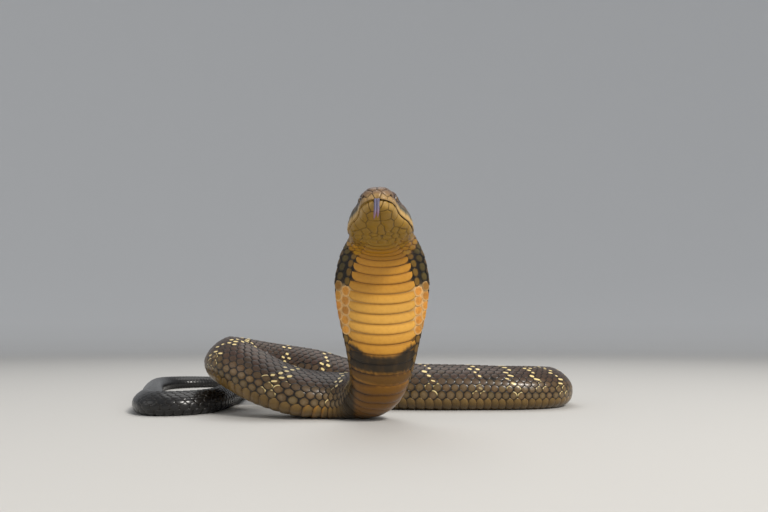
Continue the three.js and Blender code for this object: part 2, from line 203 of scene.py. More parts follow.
# The head's outline at shares of its length
head_half_width = shape_curve([
    (0, 1), (0.12, 1), (0.3, 0.99), (0.48, 0.88), (0.66, 0.62), (0.82, 0.51), (0.93, 0.45), (1, 0.41),
])
crown_height = shape_curve([(0, 17.5), (0.2, 19), (0.5, 20.5), (0.68, 21), (0.84, 18.8), (0.95, 16), (1, 14)])
jaw_depth = shape_curve([(0, 12.5), (0.2, 12.5), (0.5, 10.5), (0.8, 7.5), (0.94, 6.2), (1, 5.5)])
mouth_line = shape_curve([(0, 2), (0.2, -0.5), (0.42, -1.8), (0.75, 0.3), (1, 1.6)])


# The middle line

def travelled(points):
    """Distance along a line of points, at each of them."""
    steps = np.linalg.norm(np.diff(points, axis=-2), axis=-1)
    return np.concatenate([np.zeros((*steps.shape[:-1], 1)), np.cumsum(steps, axis=-1)], axis=-1)


def eased(points, count, passes):
    """The line as count points an even distance apart, smoothed over and over."""
    at = travelled(points)
    even = np.linspace(0, at[-1], count)
    line = np.stack([np.interp(even, at, points[:, k]) for k in range(3)], 1)
    for _ in range(passes):
        line[1:-1] = (2 * line[1:-1] + line[:-2] + line[2:]) / 4
    return line


def middle_line():
    """The eased route as points about SMOOTHING_STEP apart."""
    gone, last, placed = 0, None, []
    for x, y, *z in NECK + LEFT_FRONT + LEFT_BACK + RIGHT_TURN + HIDDEN_ROWS + UNDER_THE_COIL + TAIL_LOOP:
        x, y = x - FOOTPRINT_CENTRE[0], y - FOOTPRINT_CENTRE[1]
        if last:
            rise = z[0] - last[2][0] if z and last[2] else 0
            gone += math.dist((x, y, rise), (last[0], last[1], 0))
        last = (x, y, z)
        resting = float(half_height(gone * ROUTE_STRETCH)) * (1 - PRESS)
        placed.append((x, y, z[0] if z else resting))
    knots = np.array(placed)
    before = np.vstack([2 * knots[0] - knots[1], knots[:-2]])
    after = np.vstack([knots[2:], 2 * knots[-1] - knots[-2]])
    shares = np.linspace(0, 1, PIECE_POINTS, endpoint=False)[:, None]
    pieces = []
    for p0, p1, p2, p3 in zip(before, knots[:-1], knots[1:], after):
        d0, d1, d2 = (math.sqrt(math.dist(a, b)) for a, b in ((p0, p1), (p1, p2), (p2, p3)))
        leave = d1 * ((p1 - p0) / d0 - (p2 - p0) / (d0 + d1) + (p2 - p1) / d1)
        arrive = d1 * ((p2 - p1) / d1 - (p3 - p1) / (d1 + d2) + (p3 - p2) / d2)
        pieces.append(hermite(p1, p2, leave, arrive, shares))
    fine = np.vstack([*pieces, knots[-1:]])
    return eased(fine, round(travelled(fine)[-1] / SMOOTHING_STEP) + 1, SMOOTHING_PASSES)


LINE = middle_line()
LINE_AT = travelled(LINE)
LINE_END = LINE_AT[-1]
LINE_WAY = unit(np.vstack([LINE[1:], LINE[-1:]]) - np.vstack([LINE[:1], LINE[:-1]]))


def place(g):
    """Centre, backward, the way the back faces and the snake's right at places g along it."""
    g = np.asarray(g, float)
    s = np.clip(g, 0, LINE_END)
    i = np.clip(np.searchsorted(LINE_AT, s, side="right") - 1, 0, len(LINE_AT) - 2)
    step = (LINE_AT[i + 1] - LINE_AT[i])[..., None]
    t = (s - LINE_AT[i])[..., None] / step
    centre = hermite(LINE[i], LINE[i + 1], step * LINE_WAY[i], step * LINE_WAY[i + 1], t)
    backward = unit(towards(LINE_WAY[i], LINE_WAY[i + 1], t))
    centre = centre + backward * np.minimum(g, 0)[..., None]
    upright = smooth(*UPRIGHT, s)
    lean = ROLL["lean"] * (1 - smooth(0, ROLL["reach"], np.abs(s - ROLL["middle"])))
    back = np.stack([np.zeros_like(s), 1 - upright + lean, np.ones_like(s)], -1)
    back = unit(back - backward * (back * backward).sum(-1, keepdims=True))
    return centre, backward, back, np.cross(back, backward)


# Sections of the body and of the head

def body_section(s, angle, centre_height):
    """Across and up from the middle line on the body's outline, and 1 where the belly rests on the floor."""
    hood = between(*HOOD, s)
    wide, high = half_width(s), half_height(s)
    resting = np.where(s > UPRIGHT[1] - 30, 1 - smooth(1, 9, centre_height - high), 0)
    across, along = np.sin(angle), np.abs(np.cos(angle))
    edge = np.abs(across)
    ridged = 0.78 * along + 0.22 * (1 - edge)
    spread = 0.5 * along + 0.5 * bump(edge, 0, 0.42)
    pressed = np.maximum(0, 1 - edge**2.6) ** (1 / 2.2)
    bulged = 0.45 * along + 0.55 * np.maximum(0, np.cos(math.pi / 2 * np.minimum(1, edge / 0.8))) ** 0.8
    corner = 0.1 * along * edge * resting
    above = np.cos(angle) >= 0
    x = across * (1 + np.where(above, -0.1 * along, corner) * (1 - hood))
    belly = towards(towards(along, pressed, resting), bulged, hood)
    return wide * x, high * np.where(above, towards(ridged, spread, hood), -belly), resting


def blunt(station, power):
    share = np.clip((station - SNOUT["from"]) / (1 - SNOUT["from"]), 0, 1)
    return np.maximum(1e-6, 1 - share**power) ** (1 / power)


def mouth_open(y):
    return smooth(*MOUTH_CORNER, y)


def head_section(y, angle):
    """Across and up from the middle line on the head's outline, and how far it is shifted forward."""
    station = y / HEAD_LENGTH
    across, along = np.sin(angle), np.abs(np.cos(angle))
    above = np.cos(angle) >= 0
    width = head_half_width(station) * JAW_WIDTH / 2 * blunt(station, SNOUT["across"])
    width = width * np.where(above, 1, 1 - 0.05 * mouth_open(y))
    mouth = mouth_line(station) + np.where(above, 1, -1) * MOUTH_GAP / 2 * mouth_open(y)
    high = np.where(above, crown_height(station) - mouth, jaw_depth(station) + mouth)
    rise = high * blunt(station, SNOUT["upright"]) * along ** np.where(above, 0.62, 0.72)
    brow = BROW["out"] * bump(station, *BROW["station"]) * bump(np.abs(across), *BROW["across"]) * above
    sign = np.sign(across)
    x = width * sign * np.abs(across) ** np.where(above, 0.7, 0.8) * (1 - 0.1 * along**2) + sign * brow * 0.5
    z = mouth + np.where(above, rise + 0.6 * brow, -rise)
    return x, z - MOUTH_DROP, np.where(above, 0, (JAW_SET_BACK - 1) * y)


def skin_point(g, angle):
    """Points on the snake's own outline."""
    centre, backward, back, side = place(g)
    share = smooth(-14, 4, g)
    body_x, body_z, resting = body_section(np.maximum(g, 0), angle, centre[..., 2])
    head_x, head_z, shift = head_section(np.maximum(-g, 0), angle)
    x, z = towards(head_x, body_x, share), towards(head_z, body_z, share)
    points = centre + side * x[..., None] + back * z[..., None] - backward * (shift * (1 - share))[..., None]
    points[..., 2] = np.where(resting > 0, np.maximum(points[..., 2], 0), points[..., 2])
    return points


def skin_normal(g, angle):
    step, turn = 0.6, 0.012
    along = skin_point(g + step, angle) - skin_point(g - step, angle)
    round_it = skin_point(g, angle + turn) - skin_point(g, angle - turn)
    return unit(np.cross(along, round_it))


def lifted(g, angle, lift):
    """Points at a height over the outline, kept off the floor."""
    g, angle = np.broadcast_arrays(np.asarray(g, float), np.asarray(angle, float))
    points = skin_point(g, angle) + skin_normal(g, angle) * np.asarray(lift)[..., None]
    points[..., 2] = np.where(g > UPRIGHT[0], np.maximum(points[..., 2], FLOOR_CLEARANCE), points[..., 2])
    return points


def coat_depth(g):
    return np.clip(SCALE_DEPTH * scale_pitch(g), *DEPTH_LIMITS)


def skin_depth(g):
    """How far the skin lies under the outline, to leave room for the scales on it."""
    return coat_depth(g) * smooth(*COAT_START, g)


# Distances round the body, from the middle of the back
TABLE_STEP = 4
TABLE_AT = np.arange(-28, LINE_END + TABLE_STEP, TABLE_STEP)
TABLE_ANGLES = np.linspace(0, math.pi, 241)
TABLE = travelled(skin_point(*np.meshgrid(TABLE_AT, TABLE_ANGLES, indexing="ij")))


def table_row(g):
    return np.clip(np.round((np.asarray(g) - TABLE_AT[0]) / TABLE_STEP).astype(int), 0, len(TABLE_AT) - 1)


def girth_half(g):
    """From the middle of the back to the middle of the belly, round one side."""
    return TABLE[table_row(g), -1]


def angle_at(g, signed):
    """Angle at a signed distance round the body from the back's middle, one row of distances per place g."""
    found = [np.interp(np.abs(one), TABLE[row], TABLE_ANGLES) for one, row in zip(signed, table_row(g))]
    return np.sign(signed) * np.array(found)


def scute_edge_angle(g):
    """Angle of the belly plates' ends."""
    reach = scute_half_width(g) / (half_width(np.maximum(g, 0)) * np.where(g < 0, 0.97, 1))
    raised = np.arcsin(np.clip(reach, 0, 0.97))
    return math.pi - towards(raised, math.radians(SCUTE_ANGLE), smooth(140, 215, g))


FINE_AT = np.arange(-26, LINE_END, 2.0)
EDGE_AT = [
    np.interp(angle, TABLE_ANGLES, TABLE[row])
    for angle, row in zip(scute_edge_angle(FINE_AT), table_row(FINE_AT))
]


def scute_edge(g):
    """Distance round the body from the middle of the back to the belly plates' ends."""
    return np.interp(g, FINE_AT, EDGE_AT)


# Counting scales along the body
COUNT_AT = np.arange(-90, LINE_END + 1, 1.0)
COUNT = np.concatenate([[0], np.cumsum(1 / scale_pitch(COUNT_AT[:-1] + 0.5))])
COUNT = COUNT - np.interp(FIRST_SCUTE, COUNT_AT, COUNT)


# Colours

def colour(code):
    """A colour written as in a paint chart, as linear light."""
    parts = np.array([int(code[i:i + 2], 16) for i in (1, 3, 5)]) / 255
    return np.where(parts <= 0.04045, parts / 12.92, ((parts + 0.055) / 1.055) ** 2.4)


BACK_BROWN = colour("#46352a")
FLANK_OLIVE = colour("#5f492a")
LOW_FLANK = colour("#5e4a28")
BACK_SKIN = colour("#16110d")
TAIL_BLACK = colour("#111011")
TAIL_SKIN = colour("#060606")
CREAM = colour("#ecd596")
HOOD_OLIVE = colour("#52441b")
HOOD_ORANGE = colour("#cc8a34")
CREAM_SKIN = colour("#e2bd83")
CHIN_OLIVE = colour("#8c6a1b")
THROAT = colour("#a37012")
THROAT_SIDE = colour("#a8791c")
SCUTE_OCHRE = colour("#c48b2e")
SCUTE_BRIGHT = colour("#d39e44")
DARK_BAND = colour("#241905")
BROWN_BAND = colour("#5f3f09")
# the ochre of the plates at the base of the raised part, darkened with painted shade near the ground
SHADED_BASE_OCHRE = colour("#6a4506")
# painted shade on the belly plates inside the bend where the neck rises
BASE_PAINTED_SHADE = colour("#33260f")
OCHRE_STREAK = colour("#a0701e")
BELLY_OLIVE = colour("#755c31")
BELLY_DARK = colour("#2b2a2b")
CROWN_BROWN = colour("#604e44")
SNOUT_TAN = colour("#7f654b")
LIP_TAN = colour("#bd9b60")
CHEEK_OLIVE = colour("#656152")
# painted shade inside the nostrils, the notch of the snout and the fold of the mouth
HOLLOW_SHADE = colour("#120d0a")
# dark edge of the back's scales, partly their own colour and partly painted shade
EDGE_DARK = colour("#14100c")
EYE_BLACK = colour("#050403")
EYE_EDGE = colour("#0c0806")
IRIS_INNER = colour("#8a6532")
IRIS_OUTER = colour("#33210f")
TONGUE_GREY = colour("#5f5b72")
TONGUE_LINE = colour("#332b3c")
TONGUE_TIP = colour("#8d5663")
# painted shade at the edges of plates and scales
PLATE_SHADE = np.array([0.42, 0.3, 0.16])  # what the colour of a plate is multiplied by at its edges
GAP_SHADE = 0.25  # the same for the skin between the throat's scales


def mix(a, b, share):
    return towards(a, b, np.asarray(share, float)[..., None])


def layered(tint, *coats):
    """A colour with others laid over it in turn, each by its own share."""
    for over, share in coats:
        tint = mix(tint, over, share)
    return tint


def ragged(x, y, seed=0.0):
    """A plain wavering between about -1 and 1, for edges of colour that aren't straight."""
    slow = np.sin(x * 0.83 + seed)
    middling = np.sin(x * 2.1 + y * 0.4 + seed * 3) * 0.6
    quick = np.sin(x * 4.7 - y * 0.9 + seed) * 0.4
    return (slow + middling + quick) / 2


# Where the colours of the belly plates come in along it
THROAT_FROM, OCHRE_FROM, BRIGHT = (-18, 8), (14, 52), ((58, 84), (100, 124))
BAND_FROM, BROWN, BASE_FROM = (127, 131.5), ((144, 148), (154, 157)), (154, 158)
BASE_SHADED, BELLY_FROM, TAIL_FROM = ((160, 170), (222, 250)), (206, 244), (1100, 2050)
# Where painted shade takes over from the ochre of the base on the snake's right, as (along, across) from the
# belly's middle
OCHRE_EDGE = [(160, -28), (180, -25), (190, -20), (200, -14), (210, -7), (220, 9), (232, 40)]


def scute_colour(s, away):
    """Colour of the belly plates, away being the distance in millimetres from the belly's middle."""
    sway = ragged(away, s) * 1.6
    at = s + sway * 0.3
    ends = smooth(13, 33, np.abs(away))
    fringe = ragged(away * 1.7, s * 0.15, 1.0)
    band = smooth(*BAND_FROM, s + fringe * (0.7 + 0.6 * ends) + ends * 8)
    band = band * (1 - smooth(*BROWN[0], s - fringe))
    band = band * (1 - 0.05 * np.clip(ragged(away * 0.5, s * 0.9, 2.0), 0, 1))
    # 1 on the snake's right of the base, where the plates get painted shade
    beside = 1 - smooth(-5, 4, away - np.interp(s, *zip(*OCHRE_EDGE)))
    return layered(
        CHIN_OLIVE,
        (THROAT, smooth(*THROAT_FROM, at)),
        (SCUTE_OCHRE, smooth(*OCHRE_FROM, at)),
        (SCUTE_BRIGHT, between(*BRIGHT, at)),
        (DARK_BAND, band),
        (BROWN_BAND, smooth(*BROWN[0], s - sway) * (1 - smooth(*BROWN[1], at))),
        (SHADED_BASE_OCHRE, smooth(*BASE_FROM, at)),
        (BASE_PAINTED_SHADE, between(*BASE_SHADED, s) * beside),
        (BELLY_OLIVE, smooth(*BELLY_FROM, at)),
        (BELLY_DARK, smooth(*TAIL_FROM, s)),
    )


# Crossbars: places along the back. They slant towards the tail down the flanks.
BARS = [34, 92, 140, 182, 226, 290, 372, 436, 500, 552, 615, 683, 741, 782, 811, 838, 872, 918, 972]
BARS += [1030 + 57 * k for k in range(18)]
BAR_SLANT = 1.2
BAR_HALF = (0.85, 0.6)  # half a bar's length in scales: on the front part of the body, and further back
BAR_SCATTER = 0.06
BAR_COUNTS = np.interp(BARS, COUNT_AT, COUNT)
MARK_MISSING, LACE_KEPT = 0.1, 0.75  # shares of a bar's scales


def bar_marks(count, down, s):
    """Strength of a scale's cream middle and cream edge, down being 0 on the back and 1 at the belly."""
    n = len(s)
    off = np.abs((count - BAR_SLANT * down)[:, None] - BAR_COUNTS[None]).min(1)
    half = towards(*BAR_HALF, smooth(440, 520, s))
    missing = random.random(n) < MARK_MISSING
    on = (off < half + BAR_SCATTER * random.standard_normal(n)) & ~missing
    fade = (1 - 0.85 * smooth(1500, 2150, s)) * smooth(8, 24, s) * (0.5 + 0.5 * smooth(120, 200, s))
    low = smooth(0.6, 0.72, down + BAR_SCATTER * random.standard_normal(n))
    laced = (off < half + 0.3) & (down < 0.97) & (random.random(n) < LACE_KEPT)
    return on * fade * (1 - low), laced * fade * low


HOOD_SIDE = np.radians((82, 97))
THROAT_REACH = np.radians((100, 140))
ORANGE_PATCH = ((59, 66), (109, 114))
CREAM_PATCH = ((59, 63), (109, 113))
TAIL_DARKENS = (1250, 2080)
# painted shade on the low flank where the neck rises from the ground
SHADED_BEND = (205, 25)  # middle and reach of the darker flank where the neck rises


def hood_front(g, angle):
    """1 on the front of the raised part beside the belly plates, 0 on its back."""
    return smooth(*HOOD_SIDE, np.abs(angle)) * (1 - smooth(150, 200, g))


def throat_side(g, angle):
    """1 where the scales beside the throat are ochre: further back near the belly plates than up the side."""
    near = smooth(*THROAT_REACH, np.abs(angle))
    return 1 - smooth(6 + 15 * near, 12 + 17 * near, g)


def back_colour(g, down):
    tint = mix(BACK_BROWN, FLANK_OLIVE, smooth(0.42, 0.82, down))
    tint = mix(tint, LOW_FLANK, smooth(0.85, 1, down))
    # painted shade low on the flank where the neck rises
    tint = tint * (1 - 0.45 * smooth(0.6, 0.9, down) * bump(g, *SHADED_BEND))[..., None]
    return mix(tint, TAIL_BLACK, smooth(*TAIL_DARKENS, g))


def scale_colour(g, angle, down):
    front = hood_front(g, angle)
    olive = mix(HOOD_OLIVE, THROAT, 0.35 * smooth(0.8, 0.95, down))
    throat = mix(CHIN_OLIVE, THROAT_SIDE, smooth(-18, 3, g))
    return layered(
        back_colour(g, down),
        (CROWN_BROWN, 1 - smooth(-16, 12, g)),
        (olive, front * (1 - 0.5 * smooth(112, 130, g))),
        (throat, front * throat_side(g, angle)),
        (HOOD_ORANGE, front * between(*ORANGE_PATCH, g)),
    )


def under_colour(g, angle):
    """Colour of the skin between the scales."""
    front = hood_front(g, angle)
    return layered(
        BACK_SKIN,
        (TAIL_SKIN, smooth(*TAIL_DARKENS, g)),
        (THROAT * GAP_SHADE, front * throat_side(g, angle)),
        (CREAM_SKIN, front * between(*CREAM_PATCH, g)),
    )


# Meshes

def add_object(name, data):
    made = bpy.data.objects.new(name, data)
    bpy.context.scene.collection.objects.link(made)
    return made


LAYER_KINDS = {3: ("FLOAT_VECTOR", "vector"), 4: ("FLOAT_COLOR", "color")}


def make_mesh(name, points, faces, material, layers, uv=None):
    """A smooth-shaded mesh of triangles from arrays in millimetres. The layers tint and edge are colours."""
    mesh = bpy.data.meshes.new(name)
    points = np.asarray(points, np.float32).reshape(-1, 3) * MM
    faces = np.asarray(faces, np.int32)
    mesh.vertices.add(len(points))
    mesh.vertices.foreach_set("co", points.ravel())
    mesh.loops.add(faces.size)
    mesh.loops.foreach_set("vertex_index", faces.ravel())
    mesh.polygons.add(len(faces))
    mesh.polygons.foreach_set("loop_start", np.arange(0, faces.size, 3, dtype=np.int32))
    mesh.update(calc_edges=True)
    mesh.polygons.foreach_set("use_smooth", np.ones(len(faces), bool))
    for label, data in layers.items():
        data = np.asarray(data, np.float32).reshape(len(points), -1)
        if label in ("tint", "edge"):
            data = np.column_stack([data, np.ones(len(points), np.float32)])
        kind, key = LAYER_KINDS.get(data.shape[1], ("FLOAT", "value"))
        mesh.attributes.new(label, kind, "POINT").data.foreach_set(key, data.ravel())
    if uv is not None:
        mesh.uv_layers.new(name=BAKE_UV).data.foreach_set("uv", np.clip(uv, 0, 1).astype(np.float32).ravel())
    mesh.validate()
    mesh.materials.append(material)
    return add_object(name, mesh)


def fan(tip, ring):
    """Triangles from a point to a closed ring."""
    return np.array([(tip, a, b) for a, b in zip(ring, np.roll(ring, -1))])


def ring_faces(grid):
    """Triangles between each closed ring of points and the next."""
    a, b = grid[:-1], grid[1:]
    a_next, b_next = np.roll(a, -1, 1), np.roll(b, -1, 1)
    corners = ((a, b, b_next), (a, b_next, a_next))
    return np.concatenate([np.stack(corner, -1).reshape(-1, 3) for corner in corners])


def capped(grid):
    """Triangles of a row of rings and of the two points after them, which close its ends."""
    return np.vstack([ring_faces(grid), fan(grid.size, grid[0]), fan(grid.size + 1, grid[-1])[:, ::-1]])


def repeated(faces, count, each):
    """The faces of one plate for each of count plates that have so many points."""
    return (faces[None] + (np.arange(count) * each)[:, None, None]).reshape(-1, 3)


# Unwrap of the skin: the head and hood fill one wide band, and the body lies in further bands above it
HOOD_BAND = {"from": -80, "to": 130, "high": 0.3}
BODY_BANDS = 4
BAND_LENGTH = (3030 - HOOD_BAND["to"]) / BODY_BANDS
BAND_HIGH = (1 - HOOD_BAND["high"]) / BODY_BANDS
PATCH = 0.005  # size of a scale's own patch


def band_of(g):
    return np.where(g < HOOD_BAND["to"], -1, np.floor((g - HOOD_BAND["to"]) / BAND_LENGTH)).astype(int)


def unwrap(g, angle, band):
    """Place on the unwrap, for angles between -pi and pi, in the band given."""
    turn = (angle + math.pi) / (2 * math.pi)
    in_hood = band < 0
    start = np.where(in_hood, HOOD_BAND["from"], HOOD_BAND["to"] + band * BAND_LENGTH)
    length = np.where(in_hood, HOOD_BAND["to"] - HOOD_BAND["from"], BAND_LENGTH)
    low = np.where(in_hood, 0, HOOD_BAND["high"] + band * BAND_HIGH)
    high = np.where(in_hood, HOOD_BAND["high"], BAND_HIGH)
    return np.stack([0.01 + 0.97 * (g - start) / length, low + high * (0.03 + 0.94 * turn)], -1)


def wrap(angle):
    return (angle + math.pi) % (2 * math.pi) - math.pi


# Scale template: a closed, domed shape, u towards the tail and v across
PLATE_SIDES = 16
PLATE_RINGS = (1.0, 1.0, 0.9, 0.62, 0.3)
PLATE_POWERS = (1.75, 2.15)  # of a pointed and of a round scale's outline
PLATE_TAPER = 0.1


def plate_template():
    """Local (u, v, r) of a pointed and of a round scale's points, 1 for those on top, and the faces."""
    shapes = []
    turn = full_turn(PLATE_SIDES)
    c, s = np.cos(turn), np.sin(turn)
    for power in PLATE_POWERS:
        u = np.sign(c) * np.abs(c) ** (2 / power)
        v = np.sign(s) * np.abs(s) ** (2 / power) * (1 - PLATE_TAPER * u)
        rings = [np.column_stack([u * r, v * r, np.full(PLATE_SIDES, r)]) for r in PLATE_RINGS]
        shapes.append(np.vstack([*rings, np.zeros((2, 3))]))
    grid = np.arange(len(PLATE_RINGS) * PLATE_SIDES).reshape(-1, PLATE_SIDES)
    top = np.ones(grid.size + 2)
    top[:PLATE_SIDES] = 0
    top[-1] = 0
    faces = [ring_faces(grid)[:, ::-1], fan(grid.size, grid[-1]), fan(grid.size + 1, grid[0])[:, ::-1]]
    return *shapes, top, np.vstack(faces)


POINTED, ROUNDED, PLATE_TOP, PLATE_FACES = plate_template()


def scale_rows():
    """The scales of the back and flanks: place, signed distance from the back's middle, width and count."""
    g = FINE_AT[FINE_AT > FIRST_SCUTE - 1]
    kept = np.ones((ROWS_AT_THE_NECK, len(g)))
    for row, changes in ROW_CHANGES.items():
        for k, at in enumerate(changes):
            kept[row - 1] += (-1) ** (k + 1) * smooth(at - ROW_FADE, at + ROW_FADE, g)
    order = np.arange(ROWS_AT_THE_NECK)[:, None]
    heavier = 1 + 0.55 * (1 - order / ROWS_AT_THE_NECK) ** 2.2 * smooth(120, 260, g)
    widths = kept * (heavier + 0.34 * (order < 3) * between((8, 24), (112, 138), g))
    edge = scute_edge(g)
    unit_width = edge / (widths.sum(0) + 0.5)
    widths = widths * unit_width
    centres = edge - (np.cumsum(widths, axis=0) - widths / 2)
    phase = 0.5 * np.cumsum(kept, axis=0)
    rows = [(phase[-1] + 0.5, np.ones(len(g)), unit_width, np.zeros(len(g)), (0,))]
    rows = [(*row, (1, -1)) for row in zip(phase, kept, widths, centres)] + rows
    found = []
    for shift, share, width, centre, sides in rows:
        line = np.interp(g, COUNT_AT, COUNT) - shift
        for whole in range(math.ceil(line[0]), math.floor(line[-1]) + 1):
            at = np.interp(whole, line, g)
            if at > TAIL_END - 6 or np.interp(at, g, share) < LEAST_SHARE:
                continue
            wide, off = np.interp(at, g, width), np.interp(at, g, centre)
            found += [(at, side * off, wide, np.interp(at, COUNT_AT, COUNT)) for side in sides]
    return np.array(found)


# Size of the scales, as shares of their pitch and of their row's width: on the back, and low on the flanks
SCALE_LONG, SCALE_WIDE = (1.24, 1.15), (1.5, 1.38)
# Most length and width of the scales on the hood's front, in millimetres: dark ones and orange ones
OVAL_LONG, OVAL_WIDE = (9.6, 11.4), (6.5, 9.8)
SIZE_SCATTER = 0.035
TURN_SCATTER = math.radians(3)
SCALE_RISE = 0.95  # of the scale depth, at the free end
SCALE_DOME = 0.3
SCALE_BEVEL = 0.16
ROOT_SINK = 0.35  # how far a plate's underside lies in the skin, as a share of the scale depth
NAPE_TUCK = 1.3  # how far the roots of the first scales go under the shields, in millimetres


def scale_sizes(g, angle, down, wide):
    """Length and width of each scale, and 1 where it is round rather than pointed."""
    front = hood_front(g, angle) * (1 - throat_side(g, angle)) * (1 - smooth(116, 140, g))
    loose = smooth(0.62, 0.8, down) * between((170, 240), (1500, 2000), g)
    stretch = np.linalg.norm(skin_point(g + 1, angle) - skin_point(g - 1, angle), axis=-1) / 2
    long = scale_pitch(g) * towards(*SCALE_LONG, loose) / stretch**0.45
    across = wide * towards(*SCALE_WIDE, loose)
    patch = between(*ORANGE_PATCH, g)
    long = towards(long, np.minimum(long, towards(*OVAL_LONG, patch)), front)
    across = towards(across, np.minimum(across, towards(*OVAL_WIDE, patch)), front)
    return long, across, np.maximum(loose * 0.45, front)


def lay_scales(g, off, wide):
    """The points of each scale, and what its colours are worked out from."""
    n = len(g)
    down = np.abs(off) / scute_edge(g)
    angle = angle_at(g, off[:, None])[:, 0]
    long, across, roundness = scale_sizes(g, angle, down, wide)
    long = long * (1 + SIZE_SCATTER * random.standard_normal(n))
    across = across * (1 + SIZE_SCATTER * random.standard_normal(n))
    turn = TURN_SCATTER * random.standard_normal(n)[:, None]
    spot = towards(POINTED, ROUNDED, roundness[:, None, None])
    u, v, r = np.moveaxis(spot, -1, 0)
    along, aside = u * long[:, None] / 2, v * across[:, None] / 2
    at = g[:, None] + along * np.cos(turn) - aside * np.sin(turn)
    signed = off[:, None] + along * np.sin(turn) + aside * np.cos(turn)
    rise = SCALE_RISE * (0.12 + 0.88 * ((u + 1) / 2) ** 1.1) + SCALE_DOME * (1 - r**2)
    rise[:, PLATE_SIDES:2 * PLATE_SIDES] -= SCALE_BEVEL
    lift = coat_depth(g)[:, None] * np.where(PLATE_TOP > 0, rise, -ROOT_SINK)
    front = hood_front(g, angle)
    tucked = NAPE_TUCK * (1 - smooth(-21, -16.5, at)) * (1 - front)[:, None]
    points = lifted(at, angle_at(g, signed), lift - tucked - skin_depth(g)[:, None])
    uv_root = unwrap(g - long / 2, wrap(angle), band_of(g - long / 2))
    uv = uv_root[:, None] + POINTED[None, :, :2] * PATCH / 2
    laid = SimpleNamespace(down=down, angle=angle, front=front, spot=spot, along=along, aside=aside)
    return points, uv, laid


TONE_SCATTER, HUE_SCATTER = 0.08, 0.028
# Half the length and width of a cream mark, in millimetres, and how far it leans down towards the tail
MARK_HALF = (2.15, 1.25)
MARK_LEAN = 0.3
MARK_SCATTER = {"size": 0.18, "back": 0.5, "along": 0.5, "aside": 0.3}
LACE_TURNS = (-2.2, -0.9)  # ways from a scale's middle to its cream edge, in radians
LACE_REACH = (0.5, 1.1)


def scale_layers(g, off, count, laid):
    """The colours and strengths that the scales' material reads."""
    n, each = len(g), len(PLATE_TOP)
    tint = scale_colour(g, laid.angle, laid.down) * np.exp(TONE_SCATTER * random.standard_normal(n))[:, None]
    tint = tint * np.exp(HUE_SCATTER * random.standard_normal((n, 3)))
    patch = laid.front * between(*ORANGE_PATCH, g)
    throat = laid.front * throat_side(g, laid.angle)
    # edge colours of the scales: dark and partly painted shade, cream in the orange patch, and darkened ochre
    # beside the throat
    edge = mix(mix(EDGE_DARK, CREAM_SKIN, patch), THROAT * PLATE_SHADE * 0.6, throat)
    pale = smooth(0.5, 0.9, laid.down) * (1 - smooth(1200, 1900, g)) * (1 - laid.front)
    rim = 0.95 - 0.3 * laid.front + 0.15 * throat - 0.3 * patch
    tint = mix(tint[:, None], CREAM_SKIN, 0.65 * patch[:, None] * smooth(0.55, 1, laid.spot[..., 2]))
    middle, lace = (strength * (1 - laid.front) for strength in bar_marks(count, laid.down, g))
    lean = np.where(random.random(n) < 0.7, *LACE_TURNS) * np.sign(off)
    away = np.abs(wrap(np.arctan2(POINTED[:, 1], POINTED[:, 0])[None] - lean[:, None]))
    half = MARK_HALF * np.exp(MARK_SCATTER["size"] * random.standard_normal((n, 2)))
    back = MARK_SCATTER["back"] + MARK_SCATTER["along"] * random.standard_normal(n)
    mark_along = laid.along - back[:, None]
    mark_aside = laid.aside - MARK_SCATTER["aside"] * random.standard_normal(n)[:, None]
    mark_aside = mark_aside - MARK_LEAN * np.sign(off)[:, None] * mark_along
    mark = [mark_along / half[:, :1], mark_aside / half[:, 1:], np.repeat(middle[:, None], each, 1)]
    return {
        "tint": tint, "edge": np.repeat(edge, each, 0), "spot": laid.spot, "mark": np.stack(mark, -1),
        "rim": np.repeat(rim, each), "pale": np.repeat(pale, each),
        "lace": lace[:, None] * (1 - smooth(*LACE_REACH, away)),
    }


def build_scales(name, chosen, material):
    """One joined mesh of the chosen scales."""
    g, off, wide, count = chosen.T
    points, uv, laid = lay_scales(g, off, wide)
    layers = scale_layers(g, off, count, laid)
    faces = repeated(PLATE_FACES, len(g), len(PLATE_TOP))
    return make_mesh(name, points, faces, material, layers, uv[:, PLATE_FACES.ravel()])


def scute_grid(rows, columns):
    """Local (u, v) of a closed belly plate's points, 1 for those on top, and the faces."""
    u, v = (
        np.sin(np.linspace(-1, 1, count) * math.pi / 2 * share) / math.sin(math.pi / 2 * share)
        for count, share in ((rows, 0.86), (columns, 0.9))
    )
    upper = np.stack(np.meshgrid(u, v, indexing="ij"), -1).reshape(-1, 2)
    size = rows * columns
    grid = np.arange(size).reshape(rows, columns)
    a, b, c, d = (part.ravel() for part in (grid[:-1, :-1], grid[:-1, 1:], grid[1:, :-1], grid[1:, 1:]))
    border = np.concatenate([grid[0], grid[1:, -1], grid[-1, -2::-1], grid[-2:0:-1, 0]])
    after = np.roll(border, -1)
    corners = [(a, c, d), (a, d, b), (size + a, size + d, size + c), (size + a, size + b, size + d)]
    corners += [(border, after, size + after), (border, size + after, size + border)]
    faces = np.vstack([np.stack(corner, -1) for corner in corners])
    return np.vstack([upper, upper]), np.repeat([1.0, 0.0], size), faces


# How far forward the ends of a belly plate are swept, in millimetres
scute_sweep = shape_curve([
    (-22, 7.5), (-12, 6.5), (5, 5.5), (40, 4.5), (85, 3.2), (130, 1.6), (200, 1), (3010, 0.5),
])
PUFF = 0.9  # how much more the throat's plates stand out
BASE_SLANT = 0.4  # of the plates on the inside of the bend at the ground
BASE_BEND = (185, 28)  # middle and reach of that bend
STREAK = (254, 14)  # the same of the ochre streak behind it
SCUTE_LENGTH = 1.08  # of the pitch
SCUTE_ROOT = -0.44
SCUTE_CREST = 0.8
SCUTE_END = 0.78


